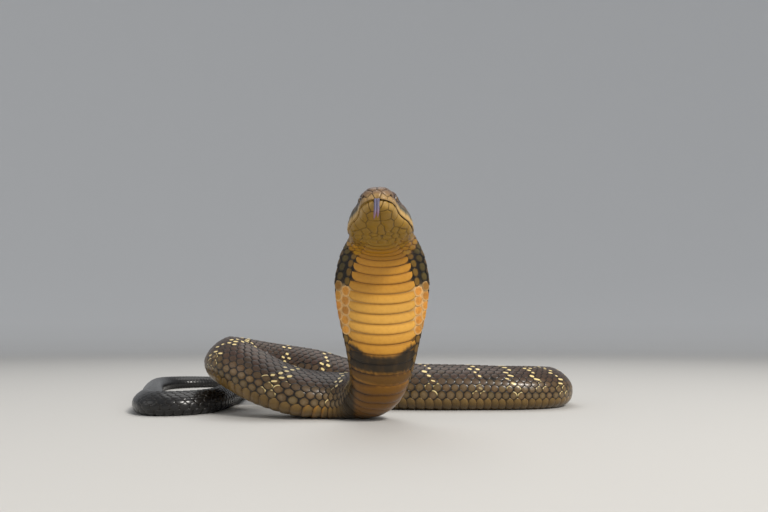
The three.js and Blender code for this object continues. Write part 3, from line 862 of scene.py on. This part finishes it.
def build_scutes(name, first, last, rows, columns, material):
    """The belly plates from one count to another."""
    local, top, faces = scute_grid(rows, columns)
    numbers = np.arange(first, last)
    g = np.interp(numbers, COUNT, COUNT_AT)
    g = g[g < TAIL_END - 8]
    numbers = numbers[:len(g)]
    n, each = len(g), len(local)
    pitch, girth = scale_pitch(g)[:, None], girth_half(g)[:, None]
    half = girth - scute_edge(g)[:, None]
    w, v = (local[:, 0] + 1) / 2, local[:, 1]
    end = np.clip((np.abs(v) - SCUTE_END) / (1 - SCUTE_END), 0, 1)
    along = SCUTE_ROOT + SCUTE_LENGTH * w * (1 - 0.45 * (1 - np.sqrt(1 - end**2)))
    sweep = scute_sweep(g)[:, None] * np.abs(v) ** 2.4
    uneven = 0.25 * np.sin(numbers * 2.3)[:, None] * v
    signed = v * half * (1.03 + 0.012 * np.sin(numbers * 1.7))[:, None]
    slant = BASE_SLANT * bump(g, *BASE_BEND)[:, None] * np.maximum(0, -signed)
    at = g[:, None] + pitch * along - sweep + uneven + slant
    angle = math.pi + np.sign(signed) * (math.pi - angle_at(g, girth - np.abs(signed)))
    crest = np.sin(math.pi / 2 * np.minimum(w / SCUTE_CREST, 1))
    free = np.maximum(w - SCUTE_CREST, 0) / (1 - SCUTE_CREST)
    height = -0.3 + 1.42 * crest - 0.45 * free**2 - 0.5 * end**2
    puffed = 1 + PUFF * (1 - smooth(2, 34, g))[:, None]
    lift = coat_depth(g)[:, None] * puffed * np.where(top > 0, height, -ROOT_SINK)
    points = lifted(at, angle, lift - skin_depth(g)[:, None])
    tint = scute_colour(at, signed) * np.exp(0.05 * random.standard_normal(n))[:, None, None]
    tint = mix(tint, OCHRE_STREAK, bump(at, *STREAK) * smooth(0.5, 0.9, w) * 0.8)
    # painted shade at each plate's root under the plate before it, and a painted dark line along its free
    # edge, stronger on the throat
    near = 1 - smooth(12, 36, g)[:, None]
    fall = np.clip((w - 0.84 + 0.12 * near) / (0.16 - 0.02 * near), 0, 1)
    shade = (0.55 - 0.25 * near) * (1 - smooth(0.08, 0.34, w)) + (0.5 + 0.4 * near) * smooth(0, 1, fall)
    tint = mix(tint, tint * PLATE_SHADE, shade) * (1 - 0.5 * near * fall)[..., None]
    # painted shade on the plates where they come near the floor
    low = smooth(150, 240, g)[:, None] * (1 - smooth(1, 14, points[..., 2]))
    layers = {
        "tint": tint * (1 - 0.5 * low)[..., None],
        "spot": np.tile(np.stack([w, v, np.zeros(each)], 1), (n, 1)),
    }
    uv = unwrap(g[:, None] + pitch * (0.98 * w - 0.49), angle - math.pi, band_of(g)[:, None])
    return make_mesh(name, points, repeated(faces, n, each), material, layers, uv[:, faces.ravel()])


# The head's shields, as (across, forward, up) from the middle of the back of the jaw, in millimetres.
# A long shield has two such points. Those off the middle stand for a pair.
UPPER_SHIELDS = [
    [(0, 76, 6)],
    [(3.8, 72.5, 14)],
    [(8.3, 73, 8)], [(11.6, 66, 10.5)],
    [(6, 64.5, 18.2)],
    [(14, 58.3, 12)],
    [(0, 58, 20.5), (0, 50.5, 21)],
    [(11.6, 57, 18), (12.4, 46.5, 19)],
    [(6.6, 43, 20.8), (8.2, 32, 20.5)],
    [(5.8, 23, 19.8), (6.5, 15, 19.5)],
    [(17.8, 45, 15.5)], [(19.4, 44.8, 10.5)],
    [(16.6, 37.5, 17.5)], [(21.8, 37, 11)], [(17.5, 26.5, 17)], [(24, 28, 10)],
    [(16.5, 16, 17.5)], [(23, 17, 13)], [(27.3, 17.5, 7)],
    [(6, 75, 3.4)], [(10.6, 71, 3.2)], [(13.8, 64, 4.6)], [(17.3, 54.5, 4.5)], [(20.8, 46, 3.5)],
    [(24.6, 37, 2.8)], [(28, 26.5, 2.4)],
]
LOWER_SHIELDS = [
    [(0, 74.5, -1)],
    [(5.2, 71.5, -2.6)], [(10.2, 68, -2)], [(14.8, 60.5, -2.6), (14.2, 56, -3.6)],
    [(18, 49, -4.2), (17.4, 45, -5.6)], [(22, 37.5, -5.8)], [(26, 27, -4.5)], [(28, 18, -4)],
    [(5.6, 64, -6), (4.6, 58.5, -7)],
    [(5.7, 52.5, -8.3), (5.8, 41, -9.9)],
    [(13, 37.4, -9.2)], [(7, 33.4, -10.7)], [(0.4, 44.5, -9.4), (0.4, 37, -10.4)],
    [(19, 34, -8.2)], [(12.8, 29.5, -10.6)], [(20.6, 25.6, -8.9)],
    [(5.6, 28, -11.4), (0, 29.6, -11.5)], [(8.6, 22.6, -11.7)], [(0, 22.6, -12.1)],
    [(15.4, 21, -10.9)], [(18.4, 14.5, -10.5)], [(24.5, 18.5, -7.5)],
]
CHIN_SHIFT = -1.6  # the groove of the chin lies to one side
CHIN_REACH = 12  # how far from the middle the shields are shifted with it


def both_sides(shields, shift=0.0):
    out = []
    for shield in shields:
        for side in ((1,) if shield[0][0] < 1 else (1, -1)):
            places = [(side * x + shift, y, z) for x, y, z in shield]
            out.append([(x - shift * (abs(x) > CHIN_REACH), y, z) for x, y, z in places])
    return out


def nearest_two(points, shields):
    """How far each point is from the border between its two nearest shields, and the way from the first."""
    distances, closest = [], []
    for shield in shields:
        a, b = np.array(shield[0], float), np.array(shield[-1], float)
        way = b - a
        t = np.clip(((points - a) @ way) / max(way @ way, 1e-9), 0, 1)
        closest.append(a + t[:, None] * way)
        distances.append(np.linalg.norm(points - closest[-1], axis=1))
    distances, closest = np.array(distances), np.array(closest)
    index = np.arange(len(points))
    first, second = np.argsort(distances, axis=0)[:2]
    apart = np.linalg.norm(closest[first, index] - closest[second, index], axis=1)
    gap = distances[second, index] ** 2 - distances[first, index] ** 2
    return gap / (2 * np.maximum(apart, 1)), points - closest[first, index]


HEAD_ROWS = 212
HEAD_TOP_COLUMNS = 122
HEAD_LOW_COLUMNS = 112
FOLD_COLUMNS = 5
TIP_SHARE = 0.9985  # of the head's length, where the first ring lies
RING_CROWDING = 0.85  # the lower this is, the closer the rings lie at the snout
NECK_OVERLAP = 10
NECK_ROWS = 14
BODY_COLUMNS = 64
BODY_STEP = 6


def even_angles(y, first, last, columns):
    """Angles that part the outline between two angles into even steps, a little closer near the mouth."""
    dense = towards(first, last, smooth(0, 1, np.linspace(0, 1, 400)))
    x, z, _ = head_section(np.full_like(dense, y), dense)
    lengths = travelled(np.stack([x, z], -1))
    wanted = np.linspace(0, 1, columns)
    wanted = wanted - 0.035 * np.sin(2 * math.pi * wanted) * (1 if last > first else -1)
    return np.interp(wanted * lengths[-1], lengths, dense)


def head_rings():
    """Places along, angles, each column's part (1 above, 0 the mouth's fold, -1 below) and its depth."""
    t = np.linspace(1, 0, HEAD_ROWS)
    y_rows = HEAD_LENGTH * TIP_SHARE * np.sin(t * math.pi / 2) ** RING_CROWDING
    g_rows = np.concatenate([-y_rows, np.arange(1, NECK_ROWS + 1) * NECK_OVERLAP / NECK_ROWS])
    quarter = math.pi / 2
    fold = np.full(FOLD_COLUMNS, quarter)
    angles = []
    for y in np.maximum(-g_rows, 0.0):
        half_top = even_angles(y, 0, quarter, HEAD_TOP_COLUMNS // 2 + 1)
        half_low = even_angles(y, 2 * quarter, quarter, HEAD_LOW_COLUMNS // 2 + 1)[::-1]
        top = np.concatenate([-half_top[:0:-1], half_top])
        low = np.concatenate([half_low, 4 * quarter - half_low[-2::-1]])
        angles.append(np.concatenate([top, fold, low, fold + 2 * quarter]))
    inside = np.sin(np.linspace(0, math.pi, FOLD_COLUMNS + 2)[1:-1]) ** 0.8
    counts = (len(top), FOLD_COLUMNS, len(low), FOLD_COLUMNS)
    depth = np.concatenate([np.zeros(len(top)), inside, np.zeros(len(low)), inside])
    return g_rows, np.array(angles), np.repeat([1, 0, -1, 0], counts), depth


def head_axes():
    """The middle of the back of the jaw at the mouth's level, and the ways across, forward and up."""
    centre, backward, back, side = place(np.array(0.0))
    return centre - back * MOUTH_DROP, np.stack([side, -backward, back])


def to_head(points):
    middle, ways = head_axes()
    return (points - middle) @ ways.T


def from_head(points):
    middle, ways = head_axes()
    return middle + np.asarray(points, float) @ ways


def head_skin():
    """Places, angles, points and colours of the head's part of the skin, ring by ring."""
    g_rows, angles, part, depth = head_rings()
    g = np.repeat(g_rows[:, None], angles.shape[1], 1)
    points = skin_point(g, angles)
    fold = np.where(part == 0)[0]
    for run in (fold[:FOLD_COLUMNS], fold[FOLD_COLUMNS:]):
        before, after = points[:, run[0] - 1], points[:, (run[-1] + 1) % points.shape[1]]
        share = np.linspace(0, 1, FOLD_COLUMNS + 2)[1:-1]
        points[:, run] = towards(before[:, None], after[:, None], share[None, :, None])
    round_it = np.roll(points, -1, 1) - np.roll(points, 1, 1)
    normal = unit(np.cross(np.gradient(points, axis=0), round_it) + 1e-12)
    _, backward, _, side = place(g_rows)
    outward_side = np.sign(np.sin(angles))[:, :, None] * side[:, None]
    at_tip = smooth(68, 75.5, -g_rows)[:, None, None]
    lips_out = unit(towards(outward_side, -backward[:, None], at_tip) + 1e-12)
    in_fold = (part == 0)[None, :, None]
    normal = np.where(in_fold, lips_out, normal)
    inward = MOUTH_DEPTH * depth * mouth_open(-g_rows)[:, None]
    lift, tint = sculpt(to_head(points), part, g)
    points = points + normal * (lift - inward)[..., None]
    # The fold inside the mouth gets painted shade.
    return g, angles, points, np.where(in_fold, HOLLOW_SHADE * 1.5, tint)


# Forms round the eye and nostril: height, middle and reach forward and then up, and the start across
HEAD_FORMS = [
    (0.8, 51.5, 6.5, 18.2, 1.5, (10, 13)), (-2.0, 57.6, 3.4, 12.4, 3, (8, 11)),
    (-0.6, 63, 3.5, 9.5, 3, (8, 11)),
]
EYE_SIDE, NOSTRIL_SIDE = 8, 6  # how far from the middle the shapes of the eye and the nostril begin


def sculpt(head, part, g):
    """How far the skin of the head stands out or in, and its colour."""
    x, y, z = head.reshape(-1, 3).T
    g, parts = g.ravel(), np.broadcast_to(part, g.shape).ravel()
    across, above = np.abs(x), parts >= 0
    below = ~above
    border_up, from_up = nearest_two(head.reshape(-1, 3), both_sides(UPPER_SHIELDS))
    border_low, from_low = nearest_two(head.reshape(-1, 3), both_sides(LOWER_SHIELDS, CHIN_SHIFT))
    border = np.where(above, border_up, border_low)
    behind_seed = -np.where(above, from_up[:, 1], from_low[:, 1])
    on_shields = 1 - np.where(above, smooth(-19.5, -17, g), smooth(-21, -16, g))
    above_mouth = z - mouth_line(y / HEAD_LENGTH)
    groove = bump(border, 0, 0.4) * (1 - 0.75 * bump(above_mouth, 0, 1.1) * mouth_open(y))
    dome = 1 - np.exp(-np.maximum(border, 0) / 1.4)
    gular = (1 - smooth(38, 44, y)) * (1 - smooth(20, 24, across)) * below
    lift = -0.5 * groove + (0.34 + 0.75 * gular) * dome + 0.15 * np.clip(behind_seed, -4, 4) * gular
    chin_groove = bump(x, CHIN_SHIFT * (1 - smooth(66, 74, y)), 1.1) * smooth(41, 46, y) * below
    chin_pad = bump(np.abs(x - CHIN_SHIFT), 7, 5) * between((40, 50), (64, 72), y) * below
    lift = on_shields * (lift - 0.35 * chin_groove + 0.6 * chin_pad)

    eye_r = np.hypot(y - EYE["y"], z - EYE["height"])
    near_eye = across > EYE_SIDE
    lift = lift * np.where(near_eye, smooth(2.8, 4.2, eye_r), 1)
    eyelid = (0.12 + 0.3 * (1 - smooth(-2, 3, y - EYE["y"]))) * bump(eye_r, 4.3, 0.7)
    lift += near_eye * (eyelid - 1.2 * np.exp(-((eye_r / 3.5) ** 6)))
    for height, forward, long, up, high, start in HEAD_FORMS:
        lift += height * bump(y, forward, long) * bump(z, up, high) * smooth(*start, across)
    nostril_r = np.hypot(y - NOSTRIL["y"], z - NOSTRIL["height"])
    nostril = np.exp(-((nostril_r / NOSTRIL["radius"]) ** 4)) * (across > NOSTRIL_SIDE)
    lift += 0.3 * bump(nostril_r, 2.1, 0.6) * (across > NOSTRIL_SIDE) - 1.5 * nostril
    lip = np.where(above, 0.35 * bump(above_mouth, 1.3, 1.1), 0.25 * bump(above_mouth, -1.4, 1.2))
    notch = bump(x, 0, 2.3) * smooth(71, 74.5, y) * bump(z, 1.8, 1.3)
    lift += lip * mouth_open(y) - 1.8 * notch

    tanned = (0.45 + 0.55 * smooth(2, 18, y)) * (1 - 0.5 * smooth(54, 68, y))
    tint = layered(
        CROWN_BROWN,
        (SNOUT_TAN, smooth(58, 73, y) * (1 - smooth(9, 15, z))),
        (CHEEK_OLIVE, smooth(13, 17, across) * (1 - smooth(6.5, 12, z)) * (1 - smooth(48, 60, y))),
        (LIP_TAN, (1 - smooth(3.2, 7, above_mouth)) * tanned),
        (CHIN_OLIVE, below),
        (LIP_TAN, below * 0.6 * bump(z, -1.5, 2.2)),
        (THROAT, below * (1 - smooth(4, 26, y))),
    )
    tint = tint * ((1 - 0.62 * on_shields * groove) * (1 - 0.6 * bump(eye_r, 3.8, 0.9) * near_eye))[:, None]
    tint = layered(
        tint,
        # painted shade in the nostrils and in the notch of the snout
        (HOLLOW_SHADE, np.clip(1.3 * nostril, 0, 1)),
        (HOLLOW_SHADE, np.clip(notch, 0, 1)),
        (under_colour(g, np.zeros_like(g)), above * smooth(-18.5, -16.5, g)),
        (THROAT * GAP_SHADE, below * smooth(-16, -9, g)),
    )
    return (lift - skin_depth(g)).reshape(head.shape[:2]), tint.reshape(head.shape)


def stitch(first, second, first_turn, second_turn):
    """Triangles between two closed rings of points that have different counts."""
    faces = []
    i = j = 0
    while i < len(first) or j < len(second):
        a, b = first[i % len(first)], second[j % len(second)]
        next_i = first_turn[i + 1] if i + 1 < len(first) else 2 * math.pi + first_turn[0]
        next_j = second_turn[j + 1] if j + 1 < len(second) else 2 * math.pi + second_turn[0]
        if j >= len(second) or (i < len(first) and next_i <= next_j):
            faces.append((a, b, first[(i + 1) % len(first)]))
            i += 1
        else:
            faces.append((a, b, second[(j + 1) % len(second)]))
            j += 1
    return np.array(faces)


def build_skin(material):
    """One closed skin from the snout to the tip of the tail."""
    g, angles, points, tint = head_skin()
    turn = wrap(angles[-1] - 1e-9)
    order = np.argsort(turn, kind="stable")
    body_angles = full_turn(BODY_COLUMNS) - math.pi
    body_g = np.arange(NECK_OVERLAP + 1.5, TAIL_END, BODY_STEP)
    body_g, body_angle = np.meshgrid(body_g, body_angles, indexing="ij")
    body_points = lifted(body_g, body_angle, -skin_depth(body_g))
    body_tint = under_colour(body_g, body_angle)
    belly = np.abs(body_angle) > scute_edge_angle(body_g)
    under_scutes = body_tint * 0.4 + scute_colour(body_g, body_g * 0) * 0.25
    body_tint = np.where(belly[..., None], under_scutes, body_tint)
    index = np.arange(g.size).reshape(g.shape)
    body_index = g.size + np.arange(body_g.size).reshape(body_g.shape)
    nose = g.size + body_g.size
    seam = stitch(index[-1][order], body_index[0], turn[order], body_angles)
    faces = np.vstack([
        ring_faces(index), ring_faces(body_index), seam, fan(nose, index[0]),
        fan(nose + 1, body_index[-1])[:, ::-1],
    ])
    all_points, all_tint = (
        np.vstack([head.reshape(-1, 3), body.reshape(-1, 3), head[:1].mean(1), body[-1:].mean(1)])
        for head, body in ((points, body_points), (tint, body_tint))
    )
    face_g = np.concatenate([g.ravel(), body_g.ravel(), [g[0, 0], body_g[-1, 0]]])[faces]
    face_angle = wrap(np.concatenate([angles.ravel(), body_angle.ravel(), [0, 0]])[faces])
    split = np.ptp(face_angle, axis=1) > math.pi
    face_angle = np.where(split[:, None] & (face_angle < 0), face_angle + 2 * math.pi, face_angle)
    uv = unwrap(face_g, face_angle, band_of(face_g.mean(1))[:, None])
    return make_mesh("skin", all_points, faces, material, {"tint": all_tint}, uv)


# Eyes and tongue
PUPIL, IRIS, EYE_RIM = 0.5, 0.86, 1.15  # angles from the pole
EYE_RINGS, EYE_SIDES = 40, 48


def build_eye(name, sign, material):
    """A ball turned so that its pole is the pupil, coloured by the distance from the pole."""
    facing = unit(EYE["facing"] * np.array([sign, 1, 1]))
    first = unit(np.cross(facing, [0, 0, 1]))
    second = np.cross(facing, first)
    away = np.linspace(0, math.pi, EYE_RINGS + 1)[1:-1]
    turn = full_turn(EYE_SIDES)
    a, t = (grid[..., None] for grid in np.meshgrid(away, turn, indexing="ij"))
    ball = np.cos(a) * facing + np.sin(a) * (np.cos(t) * first + np.sin(t) * second)
    ball = np.vstack([ball.reshape(-1, 3), facing, -facing]) * EYE["radius"]
    centre = np.array([sign * EYE["out"], EYE["y"], EYE["height"]])
    grid = np.arange(a.size).reshape(a.shape[:2])
    from_pole = np.concatenate([a.ravel(), [0, math.pi]])
    iris = mix(IRIS_INNER, IRIS_OUTER, smooth(PUPIL, IRIS, from_pole))
    pupil_edge = smooth(PUPIL - 0.05, PUPIL + 0.04, from_pole)
    tint = layered(EYE_BLACK, (iris, pupil_edge), (EYE_EDGE, smooth(IRIS, EYE_RIM, from_pole)))
    return make_mesh(name, from_head(ball + centre), capped(grid), material, {"tint": tint})


# The tongue's two halves run side by side and part at the fork. Each goes from the mouth's floor to its tip.
TONGUE_STEM = [(-13, 0.6), (-4, 1.2), (0.5, 1.3), (3, 0.1), (4, -3), (4.3, -7)]  # forward, up
TONGUE_SWAY = 0.035  # across, for each millimetre down
TONGUE_TIPS = [
    [(1.5, 4.3, -11), (1.65, 4.2, -13.8), (2.8, 3.7, -18.5)],
    [(-0.7, 4.3, -11), (-0.6, 4.2, -13.8), (-0.3, 3.8, -17)],
]
TONGUE_WIDTH = 4.4
TONGUE_THICKNESS = 1.7
TONGUE_STEPS, TONGUE_SIDES = 90, 28


def tongue_half(sign, tips):
    """Points, faces, darkness of the lines and redness of one half of the tongue."""
    stem = [(sign * TONGUE_WIDTH / 4 - min(z, 0) * TONGUE_SWAY, y, z) for y, z in TONGUE_STEM]
    path = eased(np.array(stem + tips, float), TONGUE_STEPS, TONGUE_STEPS // 2) + [0, HEAD_LENGTH, 0]
    done = np.linspace(0, 1, TONGUE_STEPS)
    taper = 1 - smooth(0.84, 1.03, done)
    way = unit(np.gradient(path, axis=0))
    across = unit(np.array([1.0, 0, 0]) - way * way[:, :1])
    normal = np.cross(across, way)
    turn = full_turn(TONGUE_SIDES)
    c, s = np.cos(turn), np.sin(turn)
    wide = np.outer((TONGUE_WIDTH / 4 + 0.08) * (0.16 + 0.84 * taper), c)
    thick = np.outer(TONGUE_THICKNESS / 2 * (0.2 + 0.8 * taper), np.sign(s) * np.abs(s) ** 0.85)
    points = path[:, None] + across[:, None] * wide[..., None] + normal[:, None] * thick[..., None]
    grid = np.arange(wide.size).reshape(wide.shape)
    inner = bump(c * sign, -1, 0.3) + 0.35 * bump(c * sign, 0.35, 0.18)
    lines = np.append(np.tile(inner, TONGUE_STEPS), [0, 0])
    red = np.append(np.repeat(smooth(0.7, 0.95, done), TONGUE_SIDES), [0, 1])
    return np.vstack([points.reshape(-1, 3), path[:1], path[-1:]]), capped(grid)[:, ::-1], lines, red


def build_tongue(material):
    points, faces, lines, red = zip(*(tongue_half(sign, tips) for sign, tips in zip((1, -1), TONGUE_TIPS)))
    darkness = np.clip(np.concatenate(lines), 0, 1)
    tint = layered(TONGUE_GREY, (TONGUE_LINE, darkness), (TONGUE_TIP, np.concatenate(red) * 0.45))
    faces = np.vstack([faces[0], faces[1] + len(points[0])])
    return make_mesh("tongue_forked", from_head(np.vstack(points)), faces, material, {"tint": tint})


# Materials

SHINE = 0.28  # specular level of every material
NOISE_DETAIL = {"mottle": 3.0, "grain": 4.0, "speck": 1.0}
GRAIN_HEIGHT = 0.0003
ROUGHNESS_SPREAD = (-0.08, 0.1)
PALE_MIDDLE = (0.3, 0.23, 0.14)
SCALE_MOTTLE = (0.5, 0.45, 0.38)
SKIN_MOTTLE = (0.75, 0.66, 0.5)
SPECK_BROWN = (0.08, 0.04, 0.015)


class Finish:
    """A material in the making, with short ways to add the nodes that it needs."""

    def __init__(self, name, roughness, coat=0.0, coat_roughness=0.1):
        self.material = bpy.data.materials.new(name)
        self.material.use_nodes = True
        self.tree = self.material.node_tree
        self.shader = self.tree.nodes["Principled BSDF"]
        self.roughness = roughness
        self.colour = self.attribute("tint", "Color")
        self.set("Roughness", roughness)
        self.set("Coat Weight", coat)
        self.set("Coat Roughness", coat_roughness)
        self.set("Specular IOR Level", SHINE)

    def set(self, socket, value):
        """Put a number, a colour or another node's output into a socket, of the shader where it is a name."""
        socket = self.shader.inputs[socket] if isinstance(socket, str) else socket
        if isinstance(value, bpy.types.NodeSocket):
            self.tree.links.new(value, socket)
        else:
            socket.default_value = (*value, 1) if np.ndim(value) else value

    def node(self, kind, inputs, **settings):
        made = self.tree.nodes.new(kind)
        for key, value in settings.items():
            setattr(made, key, value)
        for key, value in inputs.items():
            self.set(made.inputs[key], value)
        return made.outputs

    def attribute(self, name, output="Fac"):
        return self.node("ShaderNodeAttribute", {}, attribute_name=name)[output]

    def parts(self, name):
        """The three parts of a vector that the mesh holds."""
        return self.node("ShaderNodeSeparateXYZ", {0: self.attribute(name, "Vector")})

    def maths(self, operation, *values):
        return self.node("ShaderNodeMath", dict(enumerate(values)), operation=operation)[0]

    def times(self, first, *others):
        for other in others:
            first = self.maths("MULTIPLY", first, other)
        return first

    def ease(self, value, start, end):
        inputs = {"Value": value, "From Min": start, "From Max": end}
        return self.node("ShaderNodeMapRange", inputs, interpolation_type="SMOOTHSTEP")["Result"]

    def lay(self, over, *shares, kind="MIX"):
        """Lay a colour over what the material has so far, by the product of the shares."""
        inputs = {"Factor": self.times(*shares), "A": self.colour, "B": over}
        settings = {"data_type": "RGBA", "blend_type": kind, "clamp_factor": True}
        self.colour = self.node("ShaderNodeMix", inputs, **settings)["Result"]

    def noise(self, size, use="mottle"):
        inputs = {
            "Vector": self.node("ShaderNodeTexCoord", {})["Object"],
            "Scale": 1 / (size * MM), "Detail": NOISE_DETAIL[use],
        }
        return self.node("ShaderNodeTexNoise", inputs)["Fac"]

    def done(self, grain_size=0.0, grain_strength=0.0):
        """The material, with a fine relief and a roughness that varies where a grain is asked for."""
        self.set("Base Color", self.colour)
        if grain_size:
            height = self.noise(grain_size, "grain")
            inputs = {"Strength": grain_strength, "Distance": GRAIN_HEIGHT, "Height": height}
            self.set("Normal", self.node("ShaderNodeBump", inputs)["Normal"])
            low, high = (self.roughness + spread for spread in ROUGHNESS_SPREAD)
            inputs = {"Value": self.noise(4.0), "To Min": low, "To Max": high}
            self.set("Roughness", self.node("ShaderNodeMapRange", inputs)["Result"])
        return self.material


def scale_material(name, roughness, coat):
    """Scales of the back: a paler middle, an edge of its own colour that is partly painted shade, and cream
    marks on the crossbars.
    """
    finish = Finish(name, roughness, coat, 0.14)
    u, _, r = finish.parts("spot")
    finish.lay(PALE_MIDDLE, finish.ease(r, 0.8, 0.1), finish.attribute("pale"), 0.3)
    finish.lay(SCALE_MOTTLE, finish.ease(finish.noise(2.2), 0.38, 0.68), 0.4, kind="MULTIPLY")
    # the darker edge, reaching further at the free end, is partly painted shade
    reach = finish.maths("ADD", r, finish.times(u, 0.08))
    finish.lay(finish.attribute("edge", "Color"), finish.ease(reach, 0.62, 0.9), finish.attribute("rim"))
    finish.lay(CREAM, finish.ease(r, 0.66, 0.76), finish.ease(r, 0.97, 0.86), finish.attribute("lace"), 0.85)
    mark_u, mark_v, strength = finish.parts("mark")
    mark_u, mark_v = finish.maths("ABSOLUTE", mark_u), finish.maths("ABSOLUTE", mark_v)
    cut_corners = finish.times(finish.maths("ADD", mark_u, mark_v), 0.63)
    out = finish.maths("MAXIMUM", finish.maths("MAXIMUM", mark_u, mark_v), cut_corners)
    finish.lay(CREAM, finish.ease(out, 1.2, 0.85), strength)
    return finish.done(0.5, 0.12)


def skin_material(name, roughness, coat, speck=0.0):
    """Skin, head shields and belly plates: their own colours, mottled, with a fine grain."""
    finish = Finish(name, roughness, coat, 0.15)
    finish.lay(SKIN_MOTTLE, finish.ease(finish.noise(3.2), 0.4, 0.75), 0.3, kind="MULTIPLY")
    if speck:
        finish.lay(SPECK_BROWN, finish.ease(finish.noise(1.3, "speck"), 0.74, 0.8), speck)
    return finish.done(0.6, 0.15)


def tongue_material():
    return Finish("tongue", 0.5, 0.1, 0.3).done(0.35, 0.2)


# The studio
FLOOR_TONE = np.array([0.58, 0.57, 0.55])
WALL_TONE = np.array([0.86, 0.86, 0.86])
FLOOR_GAP = 0.0001
FLOOR_RADII = [0.4, 1.2, 2.4, 3.5]
WALL_REACH = 9.0
STAGE_SIDES = 96
WORLD_TONE = (0.93, 0.96, 1.0)
WORLD_STRENGTH = 0.42
# Name, place, target, size, power and colour
LIGHTS = [
    ("key_light", (1.5, -1.97, 2.0), (0, -0.15, 0.1), 0.8, 73, (1.0, 0.96, 0.9)),
    ("low_light", (1.5, -2.05, 0.74), (0.1, -0.15, 0.1), 0.7, 6, (1.0, 0.96, 0.9)),
    ("fill_light", (-1.7, -1.1, 0.9), (-0.1, 0, 0.08), 1.4, 5, (1.0, 0.98, 0.95)),
    ("sky_light", (0.0, 0.6, 2.4), (0, 0, 0), 2.0, 18, (1.0, 0.98, 0.95)),
]


def build_stage():
    """A pale dish: a wide flat floor that curves up far away into a wall, the same from every side."""
    bend = np.linspace(0.05, 1, 20) * math.pi / 2
    radii = np.concatenate([FLOOR_RADII, FLOOR_RADII[-1] + WALL_REACH * np.sin(bend)])
    heights = np.concatenate([np.zeros(len(FLOOR_RADII)), WALL_REACH * (1 - np.cos(bend))])
    turn = full_turn(STAGE_SIDES)
    x, y = np.outer(radii, np.cos(turn)), np.outer(radii, np.sin(turn))
    points = np.stack([x, y, np.repeat(heights[:, None], STAGE_SIDES, 1)], -1)
    points = np.vstack([points.reshape(-1, 3), [[0, 0, 0]]]) - [0, 0, FLOOR_GAP]
    grid = np.arange(x.size).reshape(x.shape)
    faces = [ring_faces(grid), fan(x.size, grid[0])]
    tint = mix(FLOOR_TONE, WALL_TONE, smooth(2, 6, np.hypot(points[:, 0], points[:, 1])))
    material = Finish("studio_floor", 0.85).done()
    make_mesh("studio_floor", points / MM, np.vstack(faces), material, {"tint": tint})


def build_lights():
    for name, location, target, size, power, tint in LIGHTS:
        light = bpy.data.lights.new(name, "AREA")
        light.shape = "DISK"
        light.size = size
        light.energy = power
        light.color = tint
        made = add_object(name, light)
        made.location = location
        made.rotation_euler = (Vector(target) - Vector(location)).to_track_quat("-Z", "Y").to_euler()
        made.visible_camera = False
    world = bpy.data.worlds.new("studio")
    bpy.context.scene.world = world
    world.use_nodes = True
    background = world.node_tree.nodes["Background"].inputs
    background["Color"].default_value = (*WORLD_TONE, 1)
    background["Strength"].default_value = WORLD_STRENGTH
    bpy.context.scene.view_settings.view_transform = "Standard"


def build_camera():
    camera = bpy.data.cameras.new("photo_camera")
    camera.lens = CAMERA_LENS
    camera.sensor_width = SENSOR_WIDTH
    camera.clip_start = 0.01
    made = add_object("photo_camera", camera)
    made.location = CAMERA_PLACE
    made.rotation_euler = (math.radians(90 + CAMERA_PITCH), 0, 0)
    bpy.context.scene.camera = made


# Putting it together

def attach(piece, slot_name, *nodes):
    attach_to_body(piece, "root")
    if nodes:
        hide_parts(*nodes)


build_camera()
build_lights()
build_stage()

scales_finish = scale_material("back_scales", 0.36, 0.25)
tail_finish = scale_material("tail_scales", 0.34, 0.5)
skin_finish = skin_material("skin_and_shields", 0.38, 0.1)
scute_finish = skin_material("belly_plates", 0.32, 0.2, 0.5)

FLESH = [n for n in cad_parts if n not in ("eye_left", "eye_right", "tongue")]
attach(build_skin(skin_finish), "head_plates", *FLESH)

SCALES = scale_rows()
SCALE_GROUPS = [
    ("hood_and_neck_scales", -40, 420, "neck_skin"), ("coil_scales", 420, 950, "back_scales"),
    ("rear_scales", 950, 1500, "back_scales"), ("last_row_scales", 1500, 2080, "back_scales"),
    ("tail_scales_left", 2080, 2560, "tail_scales"), ("tail_scales_end", 2560, 4000, "tail_scales"),
]
for title, start, end, slot_name in SCALE_GROUPS:
    chosen = SCALES[(SCALES[:, 0] >= start) & (SCALES[:, 0] < end)]
    finish = tail_finish if slot_name == "tail_scales" else scales_finish
    attach(build_scales(title, chosen, finish), slot_name)

RAISED_SCUTES = 34
TOTAL_SCUTES = int(np.interp(TAIL_END, COUNT_AT, COUNT))
attach(build_scutes("throat_scutes", 0, RAISED_SCUTES, 9, 46, scute_finish), "chin_scales")
attach(build_scutes("belly_scutes", RAISED_SCUTES, TOTAL_SCUTES, 6, 22, scute_finish), "chin_scales")

eye_finish = Finish("eye", 0.12, 1.0, 0.03).done()
attach(build_eye("eye_ball_right", 1, eye_finish), "eye", "eye_right")
attach(build_eye("eye_ball_left", -1, eye_finish), "eye", "eye_left")
attach(build_tongue(tongue_material()), "tongue", "tongue")
